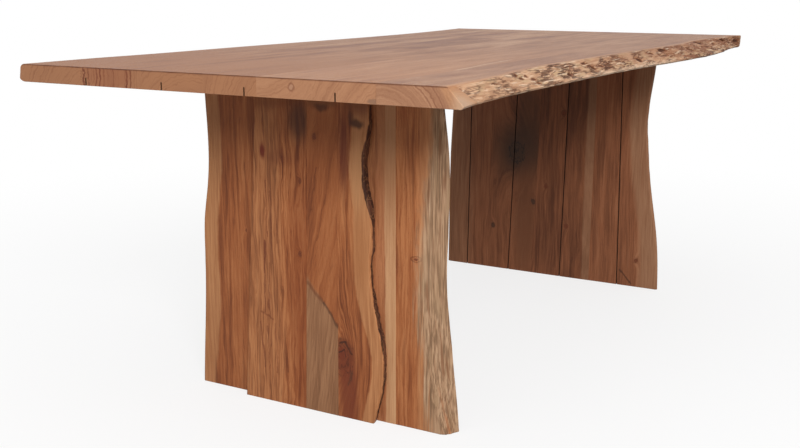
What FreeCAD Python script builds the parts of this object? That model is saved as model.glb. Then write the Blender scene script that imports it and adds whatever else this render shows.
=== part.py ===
import FreeCAD, Part
import os

import Sketcher
from FreeCAD import Placement, Rotation, Vector

# Live edge dining table, in millimetres. X runs along the top, from the near end (-X) to the far end.
# Y runs across it, with the left natural edge at +Y and the rough right one at -Y. Z is up, and the
# origin is on the floor under the middle of the top.

# Driving dimensions. A board of a leg is tapered, so it has one width at the foot and one at the head.
SIZES = {
    "table_height": 780,
    "top_length": 2000,
    "top_width": 1000,
    "top_thick": 38,
    "top_board_2_width": 168,
    "top_board_3_width": 157,
    "top_board_4_width": 128,
    "top_board_5_width": 125,
    "top_board_6_width": 135,
    "top_wander": 40,
    "top_kerf_pitch": 204,
    "top_kerf_shift": 34.5,
    "kerf_width": 2.5,
    "kerf_depth": 16,
    "leg_overhang": 291,
    "leg_thick": 40,
    "leg_wander": 45,
    "near_board_1_foot_width": 200,
    "near_board_1_head_width": 205,
    "near_board_2_foot_width": 160,
    "near_board_2_head_width": 160,
    "near_board_3_foot_width": 169,
    "near_board_3_head_width": 164,
    "near_board_4_foot_width": 101,
    "near_board_4_head_width": 101,
    "far_board_1_foot_width": 141,
    "far_board_1_head_width": 165,
    "far_board_2_foot_width": 166,
    "far_board_2_head_width": 170,
    "far_board_3_foot_width": 203,
    "far_board_3_head_width": 180,
    "far_board_4_foot_width": 190,
    "far_board_4_head_width": 185,
    "face_thick": 22,
    "face_foot_offset": 180,
    "face_head_offset": 129,
    "face_board_1_foot_width": 170,
    "face_board_1_head_width": 137,
    "face_board_2_foot_width": 88,
    "face_board_2_head_width": 76,
    "face_board_3_foot_width": 87,
    "face_board_3_head_width": 81,
    "edge_lip": 5,
    "edge_round": 4,
    "soft_bevel": 6,
    "steep_bevel": 30,
    "bark_bevel": 4,
    "angle_side": 50,
    "angle_thick": 5,
    "angle_inset": 45,
    "fixing_end": 30,
    "screw_shank": 5,
    "screw_length": 32,
    "screw_tip": 6,
    "screw_head": 10,
    "screw_head_high": 3.2,
    "bolt_size": 8,
    "bolt_length": 25,
    "bolt_head_across": 13,
    "bolt_head_high": 5.3,
    "washer_outer": 16,
    "washer_thick": 1.6,
    "insert_outer": 12,
    "insert_length": 20,
    "thread_clear": 0.1,
    "hole_clear": 1,
    "hole_spare": 2,
}
TOP_BOARDS = 7
LEG_BOARDS = 4
FACE_BOARDS = 3
SCREWS_PER_ANGLE = 5
BOLTS_PER_ANGLE = 4
TOP_KERFS = 4
OVERRUN = 1
QUARTER_TURN = 90

# Natural edges. Each is a smooth curve whose control points stand at these shares of the board's
# length, and leave the straight line by these shares of the wander: outwards where positive.
TOP_STATIONS = (0, 0.04, 0.11, 0.17, 0.25, 0.35, 0.45, 0.55, 0.64, 0.72, 0.80, 0.88, 0.95, 1)
TOP_LEFT = (0.92, 0.90, 0.92, 0.52, 0.45, 0.41, 0.13, -0.23, -0.40, -0.51, -0.45, -0.15, 0.12, 0.45)
TOP_RIGHT_UPPER = (-0.10, -0.04, -0.14, -0.60, -1, -0.84, -0.59, -0.74, -0.08, -0.12, -0.56, -0.30, 0, 0.35)
TOP_RIGHT_LOWER = (0.70, 0.30, 0.14, 0, 0.05, 0, 0.12, 0.39, 0.78, 1, 1, 0.72, 0.15, 0.30)
LEG_STATIONS = (0, 0.09, 0.18, 0.27, 0.36, 0.46, 0.55, 0.64, 0.73, 0.82, 0.91, 1)
NEAR_LEFT = (0.40, 0.33, 0.20, 0.11, 0.03, 0.01, 0.01, -0.31, -0.48, -0.49, -0.40, -0.33)
NEAR_RIGHT_INNER = (0.80, 0.66, 0.50, 0.35, 0.14, 0.05, 0.10, 0.15, 0.20, 0.14, -0.07, -0.27)
NEAR_RIGHT_OUTER = (0.47, -0.04, -0.53, -0.73, -0.91, -0.99, -1, -0.97, -0.91, -0.82, -0.69, -0.58)
FAR_LEFT = (0.11, 0.11, 0.09, 0.09, 0.07, 0.04, 0, -0.09, -0.18, -0.22, -0.18, -0.11)
FAR_RIGHT = (0.80, 0.76, 0.67, 0.48, 0.21, -0.08, -0.22, -0.36, -0.45, -0.33, -0.10, 0.04)
FACE_EDGE = (0.09, 0.46, 0.77, 0.53, 0.13, -0.08, 0.01, 0.04, -0.38, -0.34, -0.05, -0.09)

doc = FreeCAD.newDocument("LiveEdgeTable")
sheet = doc.addObject("Spreadsheet::Sheet", "Sizes")
for row, (alias, value) in enumerate(SIZES.items(), start=1):
    sheet.set(f"A{row}", alias.replace("_", " "))
    sheet.set(f"B{row}", str(value))
    sheet.setAlias(f"B{row}", alias)
doc.recompute()


def size(alias):
    return f"Sizes.{alias}"


LEG_HEIGHT = f"({size('table_height')} - {size('top_thick')})"
TOP_HALF = f"({size('top_length')} / 2)"
SHOW_FACE = f"({TOP_HALF} - {size('leg_overhang')})"
OUTER_FACE = f"({SHOW_FACE} - {size('face_thick')})"
INNER_FACE = f"({OUTER_FACE} - {size('leg_thick')})"


# Helpers

def total(names):
    return "(" + " + ".join(size(name) for name in names) + ")"


def row_lines(names, start=None):
    """Y of every line between boards laid side by side from +Y, centred if no start is given."""
    lines = [start or f"({total(names)} / 2)"]
    for name in names:
        lines.append(f"({lines[-1]} - {size(name)})")
    return lines


def leg_boards(leg, end):
    return [f"{leg}_board_{number}_{end}_width" for number in range(1, LEG_BOARDS + 1)]


def natural_edge(shares, stations, along, across, wander, side, inset):
    """Control points (along, across) of a natural edge on the given side, drawn in by an inset."""
    poles = []
    for station, share in zip(stations, shares):
        run = f"{along[0]} + ({along[1]} - {along[0]}) * {station}"
        line = f"{across[0]} + ({across[1]} - {across[0]}) * {station}"
        poles.append((run, f"{line} + {side} * ({share} * {wander} - {inset})"))
    return poles


def bind_point(sketch, geometry, end, point):
    """Holds a point of the sketch at two sheet expressions."""
    for kind, expression in zip(("DistanceX", "DistanceY"), point):
        value = float(sheet.evalExpression(expression))
        index = sketch.addConstraint(Sketcher.Constraint(kind, -1, 1, geometry, end, value))
        sketch.setExpression(f"Constraints[{index}]", expression)


def locate(points):
    """Sheet expressions of points as vectors, for where a sketch starts from."""
    return [Vector(*(float(sheet.evalExpression(part)) for part in point)) for point in points]


def outline(body, name, plane, offset, corners, poles=()):
    """Closed sketch: straight lines through the corners, and a spline back where poles are given."""
    sketch = body.newObject("Sketcher::SketchObject", name)
    origin = next(item for item in body.Origin.OriginFeatures if item.Role == plane)
    sketch.AttachmentSupport = [(origin, "")]
    sketch.MapMode = "FlatFace"
    sketch.setExpression("AttachmentOffset.Base.z", offset)
    spots = locate(corners)
    runs = list(zip(spots, spots[1:]))
    if poles:
        last_pole, first_pole = locate([poles[-1], poles[0]])
        runs += [(spots[-1], last_pole), (first_pole, spots[0])]
    else:
        runs += [(spots[-1], spots[0])]
    for start, end in runs:
        sketch.addGeometry(Part.LineSegment(start, end), False)
    closing = len(runs) - 1
    for index, corner in enumerate(corners):
        before = index - 1 if index else closing
        sketch.addConstraint(Sketcher.Constraint("Coincident", before, 2, index, 1))
        bind_point(sketch, index, 1, corner)
    if poles:
        add_spline(sketch, poles, closing - 1, closing)
    return sketch


def add_spline(sketch, poles, line_in, line_out):
    """Spline whose control points are bound to the sheet, from the end of one line to the next."""
    spots = locate(poles)
    curve = Part.BSplineCurve()
    curve.buildFromPoles(spots, False, 3)
    spline = sketch.addGeometry(curve, False)
    first = None
    for index, (spot, pole) in enumerate(zip(spots, poles)):
        circle = sketch.addGeometry(Part.Circle(spot, Vector(0, 0, 1), 1), True)
        kind = "InternalAlignment:Sketcher::BSplineControlPoint"
        sketch.addConstraint(Sketcher.Constraint(kind, circle, 3, spline, index))
        if first is None:
            first = circle
            sketch.addConstraint(Sketcher.Constraint("Weight", circle, 1.0))
        else:
            sketch.addConstraint(Sketcher.Constraint("Equal", first, circle))
        bind_point(sketch, circle, 3, pole)
    sketch.addConstraint(Sketcher.Constraint("Coincident", line_in, 2, spline, 2))
    sketch.addConstraint(Sketcher.Constraint("Coincident", line_out, 1, spline, 1))


def plain_board(name, plane, offset, thick, corners):
    """Flat board with straight sides, as thick as given from the plane at the offset."""
    body = doc.addObject("PartDesign::Body", name + "_blank")
    pad = body.newObject("PartDesign::Pad", name + "_pad")
    pad.Profile = outline(body, name + "_outline", plane, offset, corners)
    pad.setExpression("Length", thick)
    return body


def live_board(name, plane, corners, sections):
    """Board with one natural edge, lofted through its outlines at several depths."""
    body = doc.addObject("PartDesign::Body", name + "_blank")
    sketches = []
    for number, (offset, poles) in enumerate(sections, start=1):
        sketches.append(outline(body, f"{name}_outline_{number}", plane, offset, corners, poles))
    loft = body.newObject("PartDesign::AdditiveLoft", name + "_loft")
    loft.Profile = sketches[0]
    loft.Sections = sketches[1:]
    loft.Ruled = True
    return body


def place(thing, x, y, z, turn=0):
    """Puts a primitive at sheet expressions, turned about Y by an angle in degrees."""
    thing.Placement = Placement(Vector(), Rotation(Vector(0, 1, 0), turn))
    for axis, expression in zip("xyz", (x, y, z)):
        thing.setExpression(f"Placement.Base.{axis}", str(expression))
    return thing


def primitive(kind, name, **sizes):
    thing = doc.addObject(kind, name)
    for key, expression in sizes.items():
        thing.setExpression(key, str(expression))
    return thing


def gather(name, things):
    group = doc.addObject("Part::Compound", name)
    group.Links = things
    return group


def cut(name, base, tool):
    result = doc.addObject("Part::Cut", name)
    result.Base = base
    result.Tool = tool
    return result


nodes = {}
NARROW_LEG = f"min({total(leg_boards('near', 'head'))}; {total(leg_boards('far', 'head'))})"
ANGLE_LENGTH = f"({NARROW_LEG} - 2 * {size('angle_inset')})"
SCREW_HOLE = f"({size('screw_shank')} + {size('hole_clear')}) / 2"
BOLT_HOLE = f"({size('bolt_size')} + {size('hole_clear')}) / 2"
BOLT_BORE = f"{size('bolt_size')} / 2 + {size('thread_clear')}"


def spread_along_angle(count):
    """Y of fixings spread evenly along an angle, from near one end to near the other."""
    pitch = f"({ANGLE_LENGTH} - 2 * {size('fixing_end')}) / {count - 1}"
    return [f"{pitch} * {number - (count - 1) / 2}" for number in range(count)]


# Fixings: steel angles, screws, bolts, washers and inserts, and the holes that they go in

def fixings(leg, side):
    """Angle under the top on a leg's inner face, with its screws, bolts, washers and inserts."""
    into_leg = side * QUARTER_TURN
    screw_face = f"{side} * ({INNER_FACE} - {size('angle_thick')})"
    screw_height = f"{LEG_HEIGHT} - ({size('angle_side')} + {size('angle_thick')}) / 2"
    bolt_line = f"{side} * ({INNER_FACE} - ({size('angle_side')} + {size('angle_thick')}) / 2)"
    washer_under = f"{LEG_HEIGHT} - {size('angle_thick')} - {size('washer_thick')}"

    def profile(inwards, down):
        return (f"{side} * ({INNER_FACE} - {inwards})", f"{LEG_HEIGHT} - {down}")

    wide, thin = size("angle_side"), size("angle_thick")
    corners = [profile(0, 0), profile(wide, 0), profile(wide, thin),
               profile(thin, thin), profile(thin, wide), profile(0, wide)]
    blank = plain_board(f"{leg}_angle", "XZ_Plane", f"-({ANGLE_LENGTH}) / 2", ANGLE_LENGTH, corners)

    screws, bolts, washers, inserts = [], [], [], []
    flange_holes, pilot_holes, insert_holes = [], [], []
    head = primitive("Part::Cone", f"{leg}_screw_head", Radius1=f"{size('screw_head')} / 3",
                     Radius2=f"{size('screw_head')} / 2", Height=size("screw_head_high"))
    place(head, 0, 0, f"-{size('screw_head_high')}")
    straight = f"({size('screw_length')} - {size('screw_tip')})"
    shank = primitive("Part::Cylinder", f"{leg}_screw_shank", Radius=f"{size('screw_shank')} / 2",
                      Height=straight)
    tip = primitive("Part::Cone", f"{leg}_screw_tip", Radius1=f"{size('screw_shank')} / 2",
                    Radius2=f"{size('screw_shank')} / 16", Height=size("screw_tip"))
    place(tip, 0, 0, straight)
    for number, y in enumerate(spread_along_angle(SCREWS_PER_ANGLE), start=1):
        screw = doc.addObject("Part::MultiFuse", f"{leg}_screw_{number}")
        screw.Shapes = [head, shank, tip]
        screws.append(place(screw, screw_face, y, screw_height, into_leg))
        hole = primitive("Part::Cylinder", f"{leg}_screw_hole_{number}", Radius=SCREW_HOLE,
                         Height=f"{size('angle_thick')} + 2 * {OVERRUN}")
        flange_holes.append(place(hole, f"{screw_face} - {side * OVERRUN}", y, screw_height, into_leg))
        pilot = primitive("Part::Cylinder", f"{leg}_pilot_{number}",
                          Radius=f"{size('screw_shank')} / 2 + {size('thread_clear')}",
                          Height=f"{size('screw_length')} + {OVERRUN}")
        pilot_holes.append(place(pilot, screw_face, y, screw_height, into_leg))

    hexagon = primitive("Part::Prism", f"{leg}_bolt_head",
                        Circumradius=f"{size('bolt_head_across')} / sqrt(3)",
                        Height=size("bolt_head_high"))
    place(hexagon, 0, 0, f"-{size('bolt_head_high')}")
    stem = primitive("Part::Cylinder", f"{leg}_bolt_stem", Radius=f"{size('bolt_size')} / 2",
                     Height=size("bolt_length"))
    disc = primitive("Part::Cylinder", f"{leg}_washer_disc", Radius=f"{size('washer_outer')} / 2",
                     Height=size("washer_thick"))
    disc_hole = primitive("Part::Cylinder", f"{leg}_washer_hole", Radius=BOLT_BORE,
                          Height=size("washer_thick"))
    sleeve = primitive("Part::Cylinder", f"{leg}_insert_sleeve", Radius=f"{size('insert_outer')} / 2",
                       Height=size("insert_length"))
    sleeve_bore = primitive("Part::Cylinder", f"{leg}_insert_bore", Radius=BOLT_BORE,
                            Height=size("insert_length"))
    reach = f"{size('bolt_length')} - {size('angle_thick')} - {size('washer_thick')}"
    for number, y in enumerate(spread_along_angle(BOLTS_PER_ANGLE), start=1):
        bolt = doc.addObject("Part::MultiFuse", f"{leg}_bolt_{number}")
        bolt.Shapes = [hexagon, stem]
        bolts.append(place(bolt, bolt_line, y, washer_under))
        washer = cut(f"{leg}_washer_{number}", disc, disc_hole)
        washers.append(place(washer, bolt_line, y, washer_under))
        insert = cut(f"{leg}_insert_{number}", sleeve, sleeve_bore)
        inserts.append(place(insert, bolt_line, y, LEG_HEIGHT))
        hole = primitive("Part::Cylinder", f"{leg}_bolt_hole_{number}", Radius=BOLT_HOLE,
                         Height=f"{size('angle_thick')} + 2 * {OVERRUN}")
        flange_holes.append(place(hole, bolt_line, y, f"{LEG_HEIGHT} - {size('angle_thick')} - {OVERRUN}"))
        socket = primitive("Part::Cylinder", f"{leg}_insert_hole_{number}",
                           Radius=f"{size('insert_outer')} / 2",
                           Height=f"max({size('insert_length')}; {reach}) + {size('hole_spare')}")
        insert_holes.append(place(socket, bolt_line, y, LEG_HEIGHT))

    nodes[f"{leg}_angle"] = cut(f"{leg}_angle", blank, gather(f"{leg}_flange_holes", flange_holes))
    nodes[f"{leg}_angle_screws"] = gather(f"{leg}_angle_screws", screws)
    nodes[f"{leg}_angle_bolts"] = gather(f"{leg}_angle_bolts", bolts)
    nodes[f"{leg}_angle_washers"] = gather(f"{leg}_angle_washers", washers)
    nodes[f"{leg}_top_inserts"] = gather(f"{leg}_top_inserts", inserts)
    return gather(f"{leg}_pilot_holes", pilot_holes), insert_holes


near_pilots, near_sockets = fixings("near", -1)
far_pilots, far_sockets = fixings("far", 1)


# Tabletop: seven boards, with relief kerfs sawn along the underside

def tabletop():
    kerfs = []
    for number in range(TOP_KERFS):
        kerf = primitive("Part::Box", f"top_kerf_{number + 1}", Width=size("kerf_width"),
                         Length=f"{size('top_length')} + 2 * {OVERRUN}",
                         Height=f"{size('kerf_depth')} + {OVERRUN}")
        middle = f"{size('top_kerf_shift')} + {size('top_kerf_pitch')} * {number - (TOP_KERFS - 1) / 2}"
        kerfs.append(place(kerf, f"-{TOP_HALF} - {OVERRUN}", f"{middle} - {size('kerf_width')} / 2",
                           f"{LEG_HEIGHT} - {OVERRUN}"))
    cuts = gather("top_cuts", kerfs + near_sockets + far_sockets)

    lines = row_lines([f"top_board_{number}_width" for number in range(2, TOP_BOARDS)])
    ends = (f"-{TOP_HALF}", TOP_HALF)
    for number, left, right in zip(range(2, TOP_BOARDS), lines, lines[1:]):
        name = f"top_board_{number}"
        corners = [(ends[0], right), (ends[1], right), (ends[1], left), (ends[0], left)]
        board = plain_board(name, "XY_Plane", LEG_HEIGHT, size("top_thick"), corners)
        nodes[name] = cut(name, board, cuts)

    levels = (LEG_HEIGHT, f"{LEG_HEIGHT} + {size('edge_lip')}", size("table_height"))
    edges = (
        ("top_edge_board_left", lines[0], 1, (TOP_LEFT, TOP_LEFT, TOP_LEFT),
         (size("edge_round"), "0", size("soft_bevel"))),
        ("top_edge_board_right", lines[-1], -1,
         (TOP_RIGHT_LOWER, TOP_RIGHT_LOWER, TOP_RIGHT_UPPER), (size("edge_round"), "0", "0")),
    )
    for name, joint, side, shapes, insets in edges:
        rim = f"{side} * {size('top_width')} / 2"
        corners = [(ends[0], joint), (ends[1], joint)]
        sections = []
        for level, shares, inset in zip(levels, shapes, insets):
            poles = natural_edge(shares, TOP_STATIONS, ends, (rim, rim), size("top_wander"), side, inset)
            sections.append((level, poles))
        nodes[name] = cut(name, live_board(name, "XY_Plane", corners, sections), cuts)


tabletop()


# Legs: a slab of four tapered boards with a relief kerf up the inner side of each, and three
# thinner boards glued to the outer side

def upright(points):
    """(height, across) expressions as a sketch on the YZ plane takes them."""
    return [(across, height) for height, across in points]


def quad(left, right):
    """Corners of a tapered board between two lines, each given as its foot and head Y."""
    return [(right[0], "0"), (left[0], "0"), (left[1], LEG_HEIGHT), (right[1], LEG_HEIGHT)]


def saw_kerf(body, name, side, left, right):
    """Relief kerf up the middle of a board's inner face."""
    half = f"{size('kerf_width')} / 2"
    middle = [f"({left[end]} + {right[end]}) / 2" for end in (0, 1)]
    corners = quad([f"{line} + {half}" for line in middle], [f"{line} - {half}" for line in middle])
    groove = body.newObject("PartDesign::Pocket", name + "_kerf")
    groove.Profile = outline(body, name + "_kerf_outline", "YZ_Plane", f"{side} * {INNER_FACE}", corners)
    groove.setExpression("Length", size("kerf_depth"))
    groove.Reversed = side > 0


def edge_sections(side, faces, line, shares, wander_side, bevel):
    """Outlines of a leg board with a natural edge, from its inner face to its outer face."""
    inner, outer = faces
    depths = (inner, f"({inner} + {size('edge_lip')})", outer)
    insets = (size("edge_round"), "0", bevel)
    sections = []
    for depth, share, inset in zip(depths, shares, insets):
        poles = natural_edge(share, LEG_STATIONS, ("0", LEG_HEIGHT), line, size("leg_wander"),
                             wander_side, inset)
        sections.append((f"{side} * {depth}", upright(poles)))
    return sections


def joint_side(line):
    return [(line[0], "0"), (line[1], LEG_HEIGHT)]


def slab(leg, side, edges, pilots):
    lines = list(zip(row_lines(leg_boards(leg, "foot")), row_lines(leg_boards(leg, "head"))))
    start = f"-{OUTER_FACE}" if side < 0 else INNER_FACE
    for number in range(2, LEG_BOARDS):
        name = f"{leg}_leg_board_{number}"
        corners = quad(lines[number - 1], lines[number])
        board = plain_board(name, "YZ_Plane", start, size("leg_thick"), corners)
        saw_kerf(board, name, side, lines[number - 1], lines[number])
        nodes[name] = cut(name, board, pilots)
    for which, rim, joint, wander_side in (("left", 0, 1, 1), ("right", -1, -2, -1)):
        name = f"{leg}_leg_edge_board_{which}"
        shares, bevel = edges[which]
        sections = edge_sections(side, (INNER_FACE, OUTER_FACE), lines[rim], shares, wander_side, bevel)
        board = live_board(name, "YZ_Plane", joint_side(lines[joint]), sections)
        saw_kerf(board, name, side, lines[rim], lines[joint])
        nodes[name] = cut(name, board, pilots)


def face_boards(leg, side):
    """Proud boards on a leg's outer face. The far leg is the near one turned round."""
    turn = -side
    columns = []
    for end in ("foot", "head"):
        names = [f"face_board_{number}_{end}_width" for number in range(1, FACE_BOARDS + 1)]
        columns.append([f"{turn} * {line}" for line in row_lines(names, size(f"face_{end}_offset"))])
    lines = list(zip(*columns))
    start = f"-{SHOW_FACE}" if side < 0 else OUTER_FACE
    for number in range(1, FACE_BOARDS):
        name = f"{leg}_face_board_{number}"
        corners = quad(lines[number - 1], lines[number])
        nodes[name] = plain_board(name, "YZ_Plane", start, size("face_thick"), corners)
    name = f"{leg}_face_edge_board"
    sections = edge_sections(side, (OUTER_FACE, SHOW_FACE), lines[-1], (FACE_EDGE,) * 3, -turn,
                             size("bark_bevel"))
    nodes[name] = live_board(name, "YZ_Plane", joint_side(lines[-2]), sections)


near_edges = {
    "left": ((NEAR_LEFT,) * 3, size("soft_bevel")),
    "right": ((NEAR_RIGHT_INNER, NEAR_RIGHT_INNER, NEAR_RIGHT_OUTER), "0"),
}
far_edges = {
    "left": ((FAR_LEFT,) * 3, size("soft_bevel")),
    "right": ((FAR_RIGHT,) * 3, size("steep_bevel")),
}
slab("near", -1, near_edges, near_pilots)
slab("far", 1, far_edges, far_pilots)
face_boards("near", -1)
face_boards("far", 1)

# Check every object, then write one file for each piece
doc.recompute()
for thing in doc.Objects:
    if "Invalid" in thing.State or "Error" in thing.State:
        raise RuntimeError(f"{thing.Label} failed: {thing.State}")
os.makedirs("parts", exist_ok=True)
for name, node in nodes.items():
    node.Label = name
    if node.Shape.isNull() or not node.Shape.isValid() or not node.Shape.Solids:
        raise RuntimeError(f"{name} has no valid solid")
for name, node in nodes.items():
    node.Shape.exportStep(f"parts/{name}.step")
    print(f"{name}: {len(node.Shape.Solids)} solid(s), {node.Shape.Volume / 1e3:.1f} cm3")
print(f"{len(nodes)} nodes")
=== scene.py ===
# %% [markdown]
# # A live edge dining table
# A heavy table of solid acacia: seven long boards glued into a top whose two long sides keep the
# natural edge of the tree, on two slab legs built up from shorter boards. The construction model
# fixes every size. This lesson puts the looks on it: grain, knots, sapwood, pits and fixings.

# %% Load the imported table
import math
from functools import partialmethod
from types import SimpleNamespace

import bmesh
import bpy
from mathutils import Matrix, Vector, noise
from mathutils.bvhtree import BVHTree


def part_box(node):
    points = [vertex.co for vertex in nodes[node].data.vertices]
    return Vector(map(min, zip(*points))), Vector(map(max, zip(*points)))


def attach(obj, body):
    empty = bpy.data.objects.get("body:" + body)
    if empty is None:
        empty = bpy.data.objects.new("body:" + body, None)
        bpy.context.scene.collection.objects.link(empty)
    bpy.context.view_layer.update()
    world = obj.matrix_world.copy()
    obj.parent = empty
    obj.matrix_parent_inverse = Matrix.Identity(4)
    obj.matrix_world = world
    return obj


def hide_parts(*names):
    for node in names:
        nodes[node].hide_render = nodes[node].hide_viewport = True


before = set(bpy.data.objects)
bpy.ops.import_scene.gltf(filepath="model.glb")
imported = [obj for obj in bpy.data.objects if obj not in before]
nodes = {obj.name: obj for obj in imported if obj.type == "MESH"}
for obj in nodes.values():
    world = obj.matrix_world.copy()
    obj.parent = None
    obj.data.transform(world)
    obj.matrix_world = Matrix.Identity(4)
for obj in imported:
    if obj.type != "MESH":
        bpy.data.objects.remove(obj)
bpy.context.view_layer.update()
print("frame nodes:", len(nodes))

# %% [markdown]
# ## Camera
# The picture was taken from a little above the top, off the near right corner. The place, heading
# and lens come from fitting the straight edges of the table, so the camera has no shift or roll.

# %% Camera
HEADING = 0.5245
DIP = 0.2201
STATION = (-2.6310, -1.3490, 0.9556)
scene = bpy.context.scene


def new_object(name, data):
    made = bpy.data.objects.new(name, data)
    scene.collection.objects.link(made)
    return made


def turn_toward(thing, direction):
    thing.rotation_euler = direction.to_track_quat("-Z", "Y").to_euler()


camera_data = bpy.data.cameras.new("photo_camera")
camera_data.lens = 49.2165
camera_data.sensor_width = 36.0
camera = new_object("photo_camera", camera_data)
camera.location = STATION
level = math.cos(DIP)
aim = Vector((level * math.cos(HEADING), level * math.sin(HEADING), -math.sin(DIP)))
turn_toward(camera, aim)
scene.camera = camera
scene.view_settings.view_transform = "Standard"
print("camera looks along", [round(part, 3) for part in aim])

# %% [markdown]
# ## Sums on shader sockets
# A material is a graph of nodes, and grain needs a lot of arithmetic. Placing every Math node by
# hand hides the idea, so one small class wraps a socket and lets Python's own operators add them.

# %% A socket that does sums
class Wire:
    """One socket of a node tree. Sums on it add Math nodes, and node() adds any other kind."""

    def __init__(self, tree, socket=None):
        self.tree = tree
        self.socket = socket

    def node(self, kind, sockets=None, output=0, **settings):
        """Add a node. Wires get linked to it, and other values are set. A colour is three numbers."""
        made = self.tree.nodes.new(kind)
        for name, value in settings.items():
            setattr(made, name, value)
        for name, value in (sockets or {}).items():
            target = made.inputs[name]
            for entry in value if isinstance(value, list) else [value]:
                if isinstance(entry, Wire):
                    self.tree.links.new(entry.socket, target)
                else:
                    target.default_value = (*entry, 1.0) if target.type == "RGBA" else entry
        return Wire(self.tree, made.outputs[output])

    def ends_in(self, kind, name):
        """Link this socket into a closing node, which has no outputs of its own."""
        self.tree.links.new(self.socket, self.tree.nodes.new(kind).inputs[name])

    def other(self, output):
        """Another output of the same node."""
        return Wire(self.tree, self.socket.node.outputs[output])

    def math(self, operation, *others):
        sockets = dict(enumerate((self, *others)))
        return self.node("ShaderNodeMath", sockets, operation=operation)

    def __rsub__(self, other):
        return self.node("ShaderNodeMath", {0: other, 1: self}, operation="SUBTRACT")

    __add__ = __radd__ = partialmethod(math, "ADD")
    __sub__ = partialmethod(math, "SUBTRACT")
    __mul__ = partialmethod(math, "MULTIPLY")
    __truediv__ = partialmethod(math, "DIVIDE")
    __pow__ = partialmethod(math, "POWER")
    __abs__ = partialmethod(math, "ABSOLUTE")
    # the larger and the smaller of two values
    most = partialmethod(math, "MAXIMUM")
    least = partialmethod(math, "MINIMUM")

    def smooth(self, low, high):
        """0 at low and 1 at high, with a soft step between. Low may be the larger number."""
        ends = {"Value": self, "From Min": low, "From Max": high}
        return self.node("ShaderNodeMapRange", ends, interpolation_type="SMOOTHSTEP")

    def mix(self, share, first, second):
        """A share of the way from one colour to another."""
        return self.node("ShaderNodeMix", {0: share, 6: first, 7: second}, 2, data_type="RGBA")

    def toward(self, colour, share):
        """This colour, moved by a share toward another one."""
        return self.mix(share, self, colour)

    def ramp(self, *stops):
        """A colour for this value, from stops that are a place and a colour each."""
        made = self.node("ShaderNodeValToRGB", {0: self})
        elements = made.socket.node.color_ramp.elements
        while len(elements) < len(stops):
            elements.new(1.0)
        for element, (position, colour) in zip(elements, stops):
            element.position = position
            element.color = (*colour, 1.0)
        return made

    def stretched(self, scale):
        """A vector with each part multiplied by its own number."""
        return self.node("ShaderNodeVectorMath", {0: self, 1: scale}, operation="MULTIPLY")

    def vector(self, *parts):
        return self.node("ShaderNodeCombineXYZ", dict(enumerate(parts)))

    def cloud(self, detail=2.0, rough=0.5):
        """Soft noise, 0 to 1, read at this vector."""
        values = {"Vector": self, "Scale": 1.0, "Detail": detail, "Roughness": rough}
        return self.node("ShaderNodeTexNoise", values, "Fac")

    def ripple(self, detail=2.0, rough=0.5):
        """Soft noise along a line, 0 to 1, read at this value."""
        values = {"W": self, "Scale": 1.0, "Detail": detail, "Roughness": rough}
        return self.node("ShaderNodeTexNoise", values, "Fac", noise_dimensions="1D")


# %% [markdown]
# ## Floor
# The table stands in a white studio. The floor is a plain pale sheet that is shown mostly at paper
# white to the camera, so that only a soft shadow is left on it. To the table it is a duller sheet, so
# that little light is thrown back up under the top.

# %% Floor
FLOOR_HALF = 150.0
FLOOR_CORNERS = ((-1, -1), (1, -1), (1, 1), (-1, 1))
SHADOW_SHARE = 0.24
SHADOW_FULL, SHADOW_GONE = 0.8, 3.2
WHITE = (1.0, 1.0, 1.0)
PAPER, DULL_PAPER = (0.9, 0.9, 0.9), (0.42, 0.41, 0.40)


def new_material(name):
    material = bpy.data.materials.new(name)
    material.use_nodes = True
    material.node_tree.nodes.clear()
    return material, Wire(material.node_tree)


def seen_directly(sheet):
    """1 for what the camera sees, in a mirror or through glass too, and 0 for light on the table."""
    path = sheet.node("ShaderNodeLightPath", output="Is Camera Ray")
    return path.most(path.other("Is Glossy Ray")).most(path.other("Is Transmission Ray"))


def white_light(sheet, kind, strength):
    return sheet.node(kind, {"Color": WHITE, "Strength": strength})


def blend(sheet, share, first, second):
    return sheet.node("ShaderNodeMixShader", {0: share, 1: first, 2: second})


floor_mesh = bpy.data.meshes.new("studio_floor")
corners = [(side_x * FLOOR_HALF, side_y * FLOOR_HALF, 0.0) for side_x, side_y in FLOOR_CORNERS]
floor_mesh.from_pydata(corners, [], [(0, 1, 2, 3)])
floor = new_object("studio_floor", floor_mesh)

floor_material, sheet = new_material("studio_paper")
seen = seen_directly(sheet)
spot = sheet.node("ShaderNodeTexCoord", output="Object")
away = sheet.node("ShaderNodeVectorMath", {0: spot}, "Value", operation="LENGTH")
matt = sheet.node("ShaderNodeBsdfDiffuse", {"Color": sheet.mix(seen, DULL_PAPER, PAPER)})
shadow = away.smooth(SHADOW_GONE, SHADOW_FULL) * SHADOW_SHARE
glow = white_light(sheet, "ShaderNodeEmission", 1.0)
blend(sheet, seen * (1.0 - shadow), matt, glow).ends_in("ShaderNodeOutputMaterial", "Surface")
floor_mesh.materials.append(floor_material)
print("floor, metres wide:", 2 * FLOOR_HALF)

# %% [markdown]
# ## Light
# An even sky, brighter overhead than at the horizon, fills the shadows. One wide lamp overhead and in
# front gives the shade under the top that makes a thick top look heavy.

# %% Sky and lamp
LOW_SKY, HIGH_SKY = 0.12, 0.87
SKY_RISE = 0.85
LAMP_PLACE = Vector((-4.6, -3.2, 3.0))
LAMP_TARGET = Vector((-0.4, 0.0, 0.4))
LAMP_WATTS = 240.0

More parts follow.
